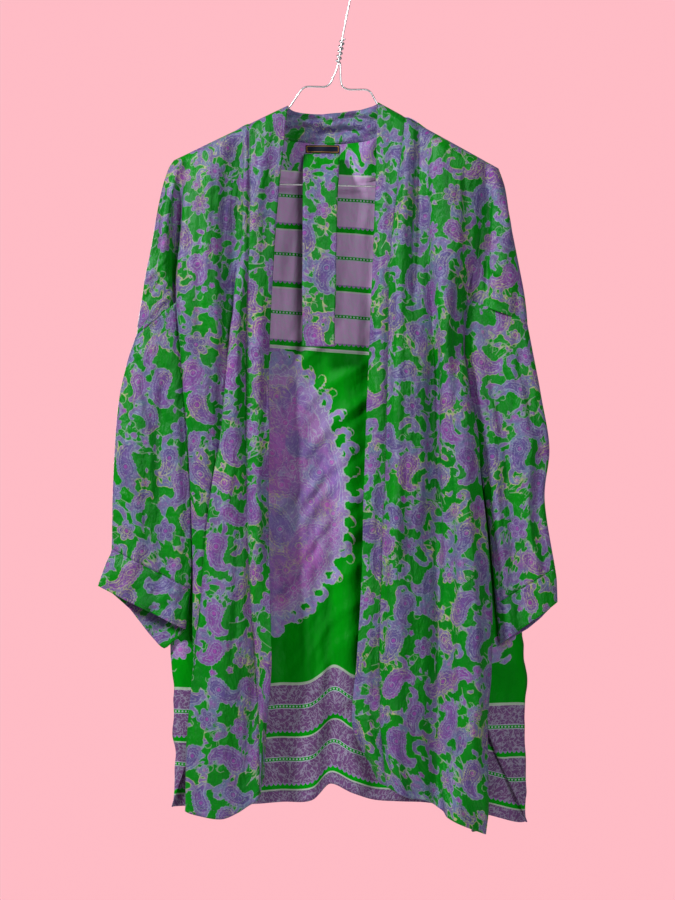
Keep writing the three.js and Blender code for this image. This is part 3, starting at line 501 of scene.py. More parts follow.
def frontSheet(front, rows):
    startY = -hang["gap"]
    shoulder = front["shoulder"]
    lines = [foldLine(rows, fold, shoulderHeight(shoulder, fold[2][0]), startY) for fold in front["folds"]]
    lines += dropLines(rows, front["drop"], front["edge"], shoulder, -1)
    lines = np.stack(lines, axis=1)
    steps = spanSteps(lines, rows, front["spacing"])
    points = smoothLine(lines, steps)
    seamColumn = sum(steps[:len(front["folds"]) - 1])
    bandColumn = sum(steps[:2])
    armhole = int(np.searchsorted(rows, armholeRow))
    below = np.arange(len(rows)) >= armhole - 4
    columns = [(points.shape[1] - 1, ~below), (seamColumn, below)]
    keep = seamWeight(points, columns, 14) * smoothStep(2.2, 4.2, rows)[:, None]
    points = crumple(points, front["facing"], front["creases"], keep, front["streaks"], front["seed"])
    points = pressSeam(points, front["facing"], bandColumn, 0.9, 2.6)
    r, c = np.ogrid[:len(rows) - 1, :points.shape[1] - 1]
    active = (r < armhole) | (c < seamColumn)
    return {"points": points, "active": active, "band": bandColumn, "seam": seamColumn, "armhole": armhole}


def backSheet(back, rows, bandRows):
    startY = hang["gap"]
    folds = back["folds"]
    leftDrop = dropLines(rows, leftFront["drop"], leftFront["edge"], leftShoulder, 1)[::-1]
    rightDrop = dropLines(rows, rightFront["drop"], rightFront["edge"], rightShoulder, 1)
    middle = []
    for k, fold in enumerate(folds):
        shoulder = leftShoulder if k < len(folds) / 2 else rightShoulder
        seam = back["neckSeam"].get(fold[0])
        topZ = seam[1] if seam else shoulderHeight(shoulder, fold[2][0])
        line = foldLine(rows, fold, topZ, startY)
        if seam:
            share = np.clip(rows / (lastRound + 1), 0, 1)
            line[:, 1] = np.where(rows < lastRound + 1, seam[0] + (fold[3][0] - seam[0]) * share, line[:, 1])
        middle.append(line)
    lines = np.stack([*leftDrop, *middle, *rightDrop], axis=1)
    names = [fold[0] for fold in folds]
    inner = range(len(leftDrop) + names.index("neckLeft"), len(leftDrop) + names.index("neckRight"))
    steps = spanSteps(lines, rows, back["spacing"])
    steps = [n if k in inner else max(2, round(n * back["outerShare"])) for k, n in enumerate(steps)]
    points = smoothLine(lines, steps)

    def columnOf(name):  # the fine column that a named fold line runs on
        return sum(steps[:len(leftDrop) + names.index(name)])

    leftSeam, rightSeam = columnOf("leftSeam"), columnOf("rightSeam")
    neckFrom, neckTo = columnOf("neckLeft"), columnOf("neckRight")
    top = smoothLine(back["neckTop"], [16] * (len(back["neckTop"]) - 1))
    share = np.clip((np.arange(points.shape[1]) - neckFrom) / (neckTo - neckFrom), 0, 1) * (len(top) - 1)
    upper = np.stack([np.interp(share, np.arange(len(top)), top[:, n]) for n in range(3)], axis=-1)
    down = (np.arange(bandRows) / bandRows)[:, None, None]
    band = upper[None] * (1 - down) + points[:1] * down
    points = np.concatenate([band, points])
    armhole = int(np.searchsorted(rows, armholeRow)) + bandRows
    allRows = np.concatenate([np.full(bandRows, -1.0), rows])
    below = np.arange(len(allRows)) >= armhole - 4
    columns = [(0, ~below), (points.shape[1] - 1, ~below), (leftSeam, below), (rightSeam, below)]
    keep = seamWeight(points, columns, 14)
    inNeck = smoothStep(neckFrom - 1, neckFrom + 6, np.arange(points.shape[1]))
    inNeck = inNeck * (1 - smoothStep(neckTo - 6, neckTo + 1, np.arange(points.shape[1])))
    onTop = smoothStep(2.2, 4.2, allRows)[:, None]
    keep = keep * np.maximum(onTop, 0.8 * inNeck[None])
    points = crumple(points, back["facing"], back["creases"], keep, back["streaks"], back["seed"])
    r, c = np.ogrid[:len(allRows) - 1, :points.shape[1] - 1]
    neck = (r < bandRows) & (c >= neckFrom) & (c < neckTo)
    body = (r >= bandRows) & ((r < armhole) | ((c >= leftSeam) & (c < rightSeam)))
    return {"points": points, "neck": neck, "body": body, "bandRows": bandRows, "armhole": armhole,
            "middle": (neckFrom + neckTo) // 2}


frontRows = rowPlaces(3, 18)
backRows = rowPlaces(3, 14)
leftSheet = frontSheet(leftFront, frontRows)
rightSheet = frontSheet(rightFront, frontRows)
backCloth = backSheet(backPanel, backRows, 12)
print("front and back sheets", leftSheet["points"].shape, rightSheet["points"].shape,
      backCloth["points"].shape)

# ---- sleeves: sections from the armhole to the cuff's edge
# row, outer fold x and z, inner fold x and z, half depth at front and back, how far the back hangs lower
leftSleeve = {
    "facing": 1,
    "seed": 61,
    "sagPlaces": [(0, 0), (0.14, 0.04), (0.36, 0.3), (0.56, 0.84),
                  (0.7, 1.12), (0.76, 1.12), (0.88, 0.6), (1, 0)],
    "columns": 84,
    "rowSteps": 12,
    "streaks": 2.4,
    "sections": [
        (0, -243, -454.5, -189.5, -411, 11.2, 11.2, 0),
        (1, -254, -487, -188.5, -450, 12, 11, 0),
        (3, -265, -538, -181, -512, 12, 11, 0),
        (5, -270, -598, -177, -582, 12, 12, 0),
        (7, -273, -664, -173, -672, 12, 12, 2),
        (9, -274, -720, -177, -770, 11, 12, 8),
        (10, -281, -738, -179, -788, 12, 13, 16),
        (12, -291, -766, -183, -820, 12, 13, 34),
    ],
    "creases": [
        (-248, -470, -214, -600, -1.8, 7),
        (-236, -470, -200, -560, 1.5, 6),
        (-262, -560, -236, -720, 1.8, 9),
        (-226, -540, -206, -720, -1.6, 8),
        (-190, -560, -196, -740, 1.4, 6),
        (-272, -640, -214, -668, -1.0, 7),
        (-262, -690, -200, -716, 1.1, 7),
        (-250, -700, -232, -744, -1.4, 5),
        (-226, -712, -216, -762, 1.3, 5),
        (-204, -728, -198, -780, -1.3, 5),
        (-262, -736, -240, -770, 1.0, 6),
        (-222, -768, -206, -800, -1.0, 5),
    ],
}
rightSleeve = {
    "facing": -1,
    "seed": 77,
    "sagPlaces": [(0, 0), (0.25, 0.7), (0.5, 1), (0.75, 0.7), (1, 0)],
    "columns": 84,
    "rowSteps": 12,
    "streaks": 2.4,
    "sections": [
        (0, 240, -438, 165.5, -410.5, 11.2, 11.2, 0),
        (1, 247, -474, 163, -455, 12, 11, 0),
        (3, 258, -532, 167, -520, 12, 11, 0),
        (5, 268, -598, 179, -600, 12, 12, 0),
        (7, 262, -655, 193, -690, 12, 12, 1),
        (9, 275, -744, 202, -788, 11, 12, 3),
        (10, 277, -758, 204, -806, 12, 12, 5),
        (12, 278, -786, 207, -838, 12, 12, 8),
    ],
    "creases": [
        (236, -460, 214, -600, -1.8, 7),
        (220, -450, 196, -560, 1.6, 6),
        (250, -540, 240, -700, 1.7, 8),
        (226, -580, 222, -740, -1.6, 7),
        (196, -540, 206, -720, 1.2, 6),
        (262, -600, 210, -640, -1.0, 7),
        (258, -690, 214, -716, 1.1, 7),
        (246, -712, 238, -760, -1.4, 5),
        (228, -724, 224, -776, 1.3, 5),
        (264, -720, 258, -752, -1.0, 4),
        (240, -774, 226, -806, -1.0, 5),
    ],
}
sleeveForm = {
    "cuffRow": 9,
    "folds": [  # side, place across, depth, half width
        (-1, 0.3, 4, 0.13),
        (-1, 0.62, -4, 0.14),
        (-1, 0.84, 3, 0.1),
        (1, 0.36, -3, 0.15),
        (1, 0.66, 2, 0.14),
    ],
}


def sleeveSheet(sleeve):  # flattened tube that opens along its inner fold, where its own seam runs
    table = np.array(sleeve["sections"], float)
    rows = np.arange(int(table[-1, 0]) * sleeve["rowSteps"] + 1) / sleeve["rowSteps"]
    outerX, outerZ, innerX, innerZ, front, rear, sag = (
        throughKeys(-table[:, 0], table[:, n], -rows)[:, None] for n in range(1, 8))
    angle = (np.pi + 2 * np.pi * np.arange(sleeve["columns"] + 1) / sleeve["columns"])[None]
    turn = np.mod(angle, 2 * np.pi)
    place = (1 - np.cos(turn)) / 2
    side = np.where(angle < 2 * np.pi, 1, -1)
    depth = np.where(side < 0, front, rear)
    for foldSide, at, deep, half in sleeveForm["folds"]:
        near = np.clip(1 - np.abs(place - at) / half, 0, 1)
        bump = deep * near * near * (3 - 2 * near) * np.minimum(1, rows[:, None] / 4)
        depth = depth + np.where(side == foldSide, bump, 0)
    reach = np.interp(place, *zip(*sleeve["sagPlaces"]))
    low = np.where(side > 0, sag * reach, 0)
    x = outerX + (innerX - outerX) * place
    z = outerZ + (innerZ - outerZ) * place - low
    y = side * depth * np.abs(np.sin(turn)) ** 0.8
    points = np.stack([x, y, z], axis=-1)
    cuff = sleeveForm["cuffRow"] * sleeve["rowSteps"]
    keep = smoothStep(-0.05, 0.9, rows)[:, None] * np.clip(1.25 * np.abs(np.sin(turn)), 0, 1)
    frontOnly = np.where(side < 0, 1.0, 0.5)
    points = crumple(points, sleeve["facing"], sleeve["creases"], keep * frontOnly, sleeve["streaks"],
                     sleeve["seed"])
    normal = sheetNormals(points, sleeve["facing"])
    fromSeam = (rows[:, None] - sleeveForm["cuffRow"]) * 33
    puckers = 0.5 * softNoise(np.broadcast_to(place * 16, y.shape), side + 2.0, sleeve["seed"] + 5)
    gather = np.exp(-(fromSeam / 2.4) ** 2) * 0.8 + puckers * np.exp(-(fromSeam / 14) ** 2)
    points = points - normal * (gather * np.abs(np.sin(turn)))[..., None]
    return {"points": points, "cuff": cuff}


leftTube = sleeveSheet(leftSleeve)
rightTube = sleeveSheet(rightSleeve)
print("sleeve sheets", leftTube["points"].shape)


# ---- printed motifs: distances in millimetres that the silk's material draws from
noPrint = {"motif": 40.0, "besideX": 30.0, "besideY": 30.0, "petals": 0.0, "scallop": 0.0,
           "tone": 0.5, "vein": 1.0, "vine": 40.0, "vineNear": 40.0}


def blankPrint(u):
    return {name: np.full(u.shape, value) for name, value in noPrint.items()}


def localPlace(u, v, centre, angle, reach):  # points near a motif, turned into its own directions
    near = np.flatnonzero((np.abs(u - centre[0]) < reach) & (np.abs(v - centre[1]) < reach))
    du = u[near] - centre[0]
    dv = v[near] - centre[1]
    c, s = math.cos(angle), math.sin(angle)
    return near, c * du + s * dv, c * dv - s * du


def stamp(fields, near, distance, **values):
    wins = distance < fields["motif"][near]
    at = near[wins]
    fields["motif"][at] = distance[wins]
    for name in ("besideX", "besideY", "petals", "scallop", "tone", "vein"):
        value = values.get(name, noPrint[name])
        fields[name][at] = value[wins] if isinstance(value, np.ndarray) else value


def stampPaisley(fields, u, v, centre, angle, size, flip, tone):
    near, x, y = localPlace(u, v, centre, angle, size * 0.95)
    if not len(near):
        return
    x = x * flip
    t = np.linspace(0, 1, 24)
    heading = 0.1 + 3.0 * t ** 1.9
    step = 0.95 * size / 23
    cx = np.cumsum(np.sin(heading)) * step - 0.22 * size
    cy = np.cumsum(np.cos(heading)) * step - 0.28 * size
    radius = size * (0.27 * (1 - t) ** 0.9 * (1 + 0.5 * t) + 0.012)
    away = np.hypot(x[:, None] - cx, y[:, None] - cy) - radius
    stamp(fields, near, away.min(axis=1), besideX=x - cx[2], besideY=y - cy[2],
          petals=float(round(size / 2.6)),
          scallop=1.3, tone=tone)


def stampFlower(fields, u, v, centre, angle, size, petals, tone):
    near, x, y = localPlace(u, v, centre, angle, size * 0.75)
    if not len(near):
        return
    notch = 0.16 * size
    stamp(fields, near, np.hypot(x, y) - 0.52 * size, besideX=x, besideY=y,
          petals=float(petals), scallop=notch,
          tone=tone)


def stampLeaf(fields, u, v, centre, angle, size, tone):
    near, x, y = localPlace(u, v, centre, angle, size * 0.8)
    if not len(near):
        return
    bent = x - 0.5 * y * y / size
    half = 0.24 * size * np.sqrt(np.clip(1 - (2 * y / size) ** 2, 0, 1))
    distance = np.maximum(np.abs(bent) - half, np.abs(y) - size / 2)
    stamp(fields, near, distance, tone=tone, vein=np.abs(bent) / 3)


def stampVine(fields, u, v, start, heading, length, curl, rng, stroke=1.9):
    count = int(length / 1.5)
    share = np.linspace(0, 1, count)
    turn = heading + np.cumsum(curl * (0.012 + 0.3 * share ** 2.6)) * 1.5
    pu = start[0] + np.cumsum(np.sin(turn)) * 1.5
    pv = start[1] + np.cumsum(np.cos(turn)) * 1.5
    inside = (u > pu.min() - 5) & (u < pu.max() + 5) & (v > pv.min() - 5) & (v < pv.max() + 5)
    near = np.flatnonzero(inside)
    if len(near):
        du = u[near][:, None] - pu
        dv = v[near][:, None] - pv
        away = np.hypot(du, dv)
        k = away.argmin(axis=1)
        r = np.arange(len(near))
        signed = np.cos(turn[k]) * du[r, k] - np.sin(turn[k]) * dv[r, k]
        closest = away[r, k]
        wins = closest < fields["vineNear"][near]
        fields["vine"][near[wins]] = signed[wins]
        fields["vineNear"][near[wins]] = closest[wins]
        body = closest - (stroke * np.sin(np.pi * np.clip(share[k] * 0.9 + 0.1, 0, 1)) - 0.4)
        stamp(fields, near, body, tone=rng.uniform(0.75, 1.0))
    places = []
    for k in range(5, count - 6, 6):
        sway = 1 if (k // 6) % 2 else -1
        out = turn[k] + sway * 1.0
        size = rng.uniform(5, 9)
        places.append(((pu[k] + math.sin(out) * size * 0.55,
                        pv[k] + math.cos(out) * size * 0.55), -out, size))
    return places


def stampFrond(fields, u, v, base, heading, length, curl, width, lobes, tone):  # lobed leaf that scrolls in
    count = 30
    t = np.linspace(0, 1, count)
    turn = heading + curl * (0.35 * t + 3.6 * t ** 2.3)
    step = length / (count - 1)
    pu = base[0] + np.cumsum(np.sin(turn)) * step
    pv = base[1] + np.cumsum(np.cos(turn)) * step
    reach = width + 2
    inside = (u > pu.min() - reach) & (u < pu.max() + reach) & (v > pv.min() - reach) & (v < pv.max() + reach)
    near = np.flatnonzero(inside)
    if not len(near):
        return
    du = u[near][:, None] - pu
    dv = v[near][:, None] - pv
    away = np.hypot(du, dv)
    k = away.argmin(axis=1)
    r = np.arange(len(near))
    signed = (np.cos(turn[k]) * du[r, k] - np.sin(turn[k]) * dv[r, k]) * -curl
    at = t[k]
    lobe = np.abs(np.cos(lobes * np.pi * at + signed * 0.09))
    outer = width * np.sin(np.pi * at ** 0.75) ** 0.7 * (0.5 + 0.5 * lobe) + 1.1
    inner = 0.42 * width * np.sin(np.pi * at ** 0.75) ** 0.7 + 1.1
    distance = away[r, k] - np.where(signed > 0, outer, inner)
    vein = np.minimum(np.abs(signed) / 3.5, np.abs(np.sin(lobes * np.pi * at + signed * 0.3)) + 0.06)
    stamp(fields, near, distance, tone=tone, vein=vein)


silkPrint = {"pitch": 47, "large": (34, 54), "small": (8, 15), "smallPitch": 15, "curls": 3, "fronds": 2}


def usedPoints(active):
    used = np.zeros((active.shape[0] + 1, active.shape[1] + 1), bool)
    for dr, dc in ((0, 0), (1, 0), (1, 1), (0, 1)):
        used[dr:dr + active.shape[0], dc:dc + active.shape[1]] |= active
    return used


def printFields(points, active, seed, flowerTone=0.5, anchor=0):  # paisleys, flowers and vines all over
    u, v = clothPlaces(points, anchor)
    used = usedPoints(active)
    u, v = u[used], v[used]
    rng = np.random.default_rng(seed)
    fields = blankPrint(u)
    pitch = silkPrint["pitch"]
    placed = []
    kind = 0
    for row, cv in enumerate(np.arange(v.min() - 10, v.max() + pitch, pitch * 0.9)):
        for cu in np.arange(u.min() - 20 + (row % 2) * pitch / 2, u.max() + pitch, pitch):
            centre = (cu + rng.uniform(-5, 5), cv + rng.uniform(-6, 6))
            size = rng.uniform(*silkPrint["large"])
            angle = rng.uniform(-0.9, 0.9) + (math.pi if rng.random() < 0.3 else 0)
            tone = float(np.clip(flowerTone + rng.uniform(-0.5, 0.5), 0, 1))
            flip = 1 if rng.random() < 0.5 else -1
            kind += 1
            if rng.random() < 0.65:
                stampPaisley(fields, u, v, centre, angle, size, flip, tone)
            else:
                stampFlower(fields, u, v, centre, angle, size * 0.6, int(rng.choice([5, 6, 8])), tone)
            placed.append((*centre, size * 0.4))
            for _ in range(silkPrint["fronds"]):
                out = rng.uniform(0, 2 * math.pi)
                base = (centre[0] + math.sin(out) * size * 0.25, centre[1] + math.cos(out) * size * 0.25)
                bend = 1 if rng.random() < 0.5 else -1
                stampFrond(fields, u, v, base, out, rng.uniform(24, 42), bend, rng.uniform(2.6, 4.6),
                           int(rng.integers(3, 6)), float(np.clip(tone + rng.uniform(0.1, 0.6), 0, 1)))
            for _ in range(silkPrint["curls"]):
                out = rng.uniform(0, 2 * math.pi)
                start = (centre[0] + math.sin(out) * size * 0.3, centre[1] + math.cos(out) * size * 0.3)
                curl = 1 if rng.random() < 0.5 else -1
                leaves = stampVine(fields, u, v, start, out, rng.uniform(30, 56), curl, rng, 1.3)
                for place, leafAngle, leafSize in leaves:
                    if min((math.hypot(place[0] - x, place[1] - y) - r for x, y, r in placed), default=9) > 2:
                        stampLeaf(fields, u, v, place, leafAngle, leafSize, rng.uniform(0.3, 1))
    small = silkPrint["smallPitch"]
    for cv in np.arange(v.min(), v.max(), small):
        for cu in np.arange(u.min(), u.max() + small, small):
            centre = (cu + rng.uniform(-6, 6), cv + rng.uniform(-6, 6))
            size = rng.uniform(*silkPrint["small"])
            free = min((math.hypot(centre[0] - x, centre[1] - y) - r for x, y, r in placed), default=9)
            if free < size * 0.5 + 1:
                continue
            tone = float(np.clip(flowerTone + rng.uniform(-0.6, 0.6), 0, 1))
            if rng.random() < 0.55:
                stampFlower(fields, u, v, centre, rng.uniform(0, 6), size, 5, tone)
            else:
                stampLeaf(fields, u, v, centre, rng.uniform(0, 6), size, tone)
            placed.append((*centre, size * 0.5))
    print("printed", round(float((fields["motif"] < 0).mean()), 2), "of the cloth")
    whole = {name: np.full(used.shape, noPrint[name]) for name in fields}
    for name, values in fields.items():
        whole[name][used] = values
    return whole


borders = {
    "blockTop": 253,  # millimetres below the hook
    "blockFoot": 474,
    "pitch": 73.0,
    "tilt": 0.075,
    "hemBand": 147,  # millimetres up from the hem
    "hemPitch": 65.5,
}

plainSprays = [  # x and depth below the hook, heading, curl
    (214, 832, -1.2, 1), (-190, 846, -2.0, -1), (142, 560, -0.8, 1), (150, 690, -1.0, -1),
    (-160, 600, -2.2, 1), (-150, 740, -2.4, -1), (96, 800, -1.2, 1),
]


def medallionPrint(fields, points, seed):  # a tall scrolled medallion on the plain middle of the back
    shape = points.shape[:2]
    x = points[..., 0].ravel()
    v = -points[..., 2].ravel()
    spine = np.array([(-64, 530), (-56, 580), (-46, 640), (-44, 700), (-56, 750), (-78, 790)], float)
    radius = np.array([44, 62, 70, 66, 46, 26], float)
    t = np.linspace(0, 1, 40)
    k = np.linspace(0, 1, len(spine))
    sx, sv, sr = np.interp(t, k, spine[:, 0]), np.interp(t, k, spine[:, 1]), np.interp(t, k, radius)
    bed = (np.hypot(x[:, None] - sx, v[:, None] - sv) - sr).min(axis=1)
    rng = np.random.default_rng(seed)
    local = blankPrint(x)
    sr = sr - 9
    bed = bed + 9
    for n in range(34):  # flowers and paisleys packed inside it
        i = rng.integers(0, 39)
        centre = (sx[i] + rng.uniform(-0.9, 0.9) * sr[i], sv[i] + rng.uniform(-10, 10))
        size = rng.uniform(36, 86)
        tone = rng.uniform(-0.3, 1.1)
        if n % 3:
            stampPaisley(local, x, v, centre, rng.uniform(0, 6.3), size, 1 if n % 2 else -1, tone)
        else:
            stampFlower(local, x, v, centre, rng.uniform(0, 6.3), size * 0.7, 8, tone)
    local["motif"] = np.maximum(local["motif"], bed + 2)
    for turn in np.arange(0, 2 * math.pi, 0.095):  # scrolls and scallops round its edge
        i = int((0.5 - 0.5 * math.cos(turn)) * 39)
        px = sx[i] + math.sin(turn) * (sr[i] + 2)
        pv = sv[i] - math.cos(turn) * (sr[i] + 2)
        bed = np.minimum(bed, np.hypot(x - px, v - pv) - rng.uniform(3.5, 6.5))
        curl = 1 if rng.random() < 0.5 else -1
        heading = math.pi - turn + rng.uniform(-0.6, 0.6)
        stampVine(local, x, v, (px, pv), heading, rng.uniform(20, 38), curl, rng, 2.0)
        if rng.random() < 0.7:
            stampFrond(local, x, v, (px, pv), heading, rng.uniform(22, 36), curl,
                       rng.uniform(3, 5.5), 4, 0.95)
    for px, pv, heading, curl in plainSprays:
        stampVine(local, x, v, (px, pv), heading, 60, curl, rng, 2.0)
        stampVine(local, x, v, (px, pv), heading + 1.1, 44, -curl, rng, 2.0)
        stampFrond(local, x, v, (px, pv), heading + 0.5, 44, curl, 6, 5, 0.9)
        stampFlower(local, x, v, (px, pv), heading, 26, 6, 0.3)
    local["bed"] = bed
    local = {name: values.reshape(shape) for name, values in local.items()}
    plain = (v > borders["blockFoot"]).reshape(shape)
    for name in noPrint:
        fields[name] = np.where(plain, local[name], fields[name])
    fields["bed"] = local["bed"]
    return fields


# ---- meshes
def sheetMesh(name, points, active, fields, anchor=0):
    used = usedPoints(active)
    number = np.full(used.shape, -1)
    number[used] = np.arange(used.sum())
    r, c = np.nonzero(active)
    faces = np.stack([number[r, c], number[r + 1, c], number[r + 1, c + 1], number[r, c + 1]], axis=1)
    mesh = bpy.data.meshes.new(name)
    mesh.from_pydata((points[used] / 1000).tolist(), [], faces.tolist())
    u, v = clothPlaces(points, anchor)
    place = np.stack([u[used], v[used], np.zeros(used.sum())], axis=1)
    mesh.attributes.new("cloth", "FLOAT_VECTOR", "POINT").data.foreach_set("vector", place.ravel())
    for key, values in fields.items():
        mesh.attributes.new(key, "FLOAT", "POINT").data.foreach_set("value", values[used].astype(np.float32))
    mesh.shade_smooth()
    piece = bpy.data.objects.new(name, mesh)
    bpy.context.scene.collection.objects.link(piece)
    return piece


def giveWall(piece, thickness):
    wall = piece.modifiers.new("wall", "SOLIDIFY")
    wall.thickness = thickness / 1000
    wall.offset = 0


def clothArea(points, active):
    a = points[1:, 1:] - points[:-1, :-1]
    b = points[:-1, 1:] - points[1:, :-1]
    return float((np.linalg.norm(np.cross(a, b), axis=-1) / 2 * active).sum() / 1e6)


def part(active, firstColumn=None, lastColumn=None, firstRow=None, lastRow=None):
    r, c = np.ogrid[:active.shape[0], :active.shape[1]]
    keep = active.copy()
    keep &= (c >= (firstColumn or 0)) & (c < (lastColumn or active.shape[1]))
    keep &= (r >= (firstRow or 0)) & (r < (lastRow or active.shape[0]))
    return keep


# ---- materials
def link(tree, socket, value):
    if isinstance(value, bpy.types.NodeSocket):
        tree.links.new(value, socket)
    elif value is not None:
        socket.default_value = value


def reckon(tree, operation, first, second=None, third=None):
    node = tree.nodes.new("ShaderNodeMath")
    node.operation = operation
    for socket, value in zip(node.inputs, (first, second, third)):
        link(tree, socket, value)
    return node.outputs[0]


def times(tree, first, second):
    return reckon(tree, "MULTIPLY", first, second)


def most(tree, first, second):  # the larger of the two
    return reckon(tree, "MAXIMUM", first, second)


def below(tree, value, limit):
    return reckon(tree, "LESS_THAN", value, limit)


def above(tree, value, limit):
    return reckon(tree, "GREATER_THAN", value, limit)


def within(tree, value, centre, half):  # 1 where value is no further than half from centre
    return reckon(tree, "COMPARE", value, centre, half)


def blendColour(tree, factor, first, second):
    node = tree.nodes.new("ShaderNodeMix")
    node.data_type = "RGBA"
    link(tree, node.inputs[0], factor)
    for socket, value in ((node.inputs[6], first), (node.inputs[7], second)):
        link(tree, socket, value if isinstance(value, bpy.types.NodeSocket) else (*value, 1))
    return node.outputs[2]


def readAttribute(tree, name, output="Fac"):
    node = tree.nodes.new("ShaderNodeAttribute")
    node.attribute_name = name
    return node.outputs[output]


def stretched(tree, vector, scale):
    node = tree.nodes.new("ShaderNodeVectorMath")
    node.operation = "MULTIPLY"
    link(tree, node.inputs[0], vector)
    node.inputs[1].default_value = scale
    return node.outputs[0]


def noiseOf(tree, vector, scale, detail=2.0):
    node = tree.nodes.new("ShaderNodeTexNoise")
    link(tree, node.inputs["Vector"], vector)
    node.inputs["Scale"].default_value = scale
    node.inputs["Detail"].default_value = detail
    return node.outputs["Fac"]


def streakNoise(tree, vector, scale, detail):  # noise drawn out along the cloth
    return noiseOf(tree, stretched(tree, vector, scale), 1.0, detail)


def remap(tree, value, fromLow, fromHigh, toLow, toHigh):
    node = tree.nodes.new("ShaderNodeMapRange")
    link(tree, node.inputs[0], value)
    for socket, limit in zip(node.inputs[1:5], (fromLow, fromHigh, toLow, toHigh)):
        socket.default_value = limit
    return node.outputs[0]


silk = {
    "green": (0.001, 0.23, 0.003),
    "paleGreen": (0.012, 0.27, 0.004),
    "deepGreen": (0.001, 0.105, 0.01),
    "mauve": (0.17, 0.085, 0.27),
    "blueGrey": (0.105, 0.15, 0.25),
    "violet": (0.085, 0.06, 0.2),
    "rich": (0.19, 0.05, 0.25),
    "magenta": (0.28, 0.05, 0.29),
    "outline": (0.25, 0.28, 0.36),
    "cream": (0.42, 0.44, 0.17),
    "vine": (0.26, 0.4, 0.16),
    "roughness": 0.34,
    "gloss": 0.24,
    "weaveDepth": 0.00006,
    "crinkleDepth": 0.002,
}


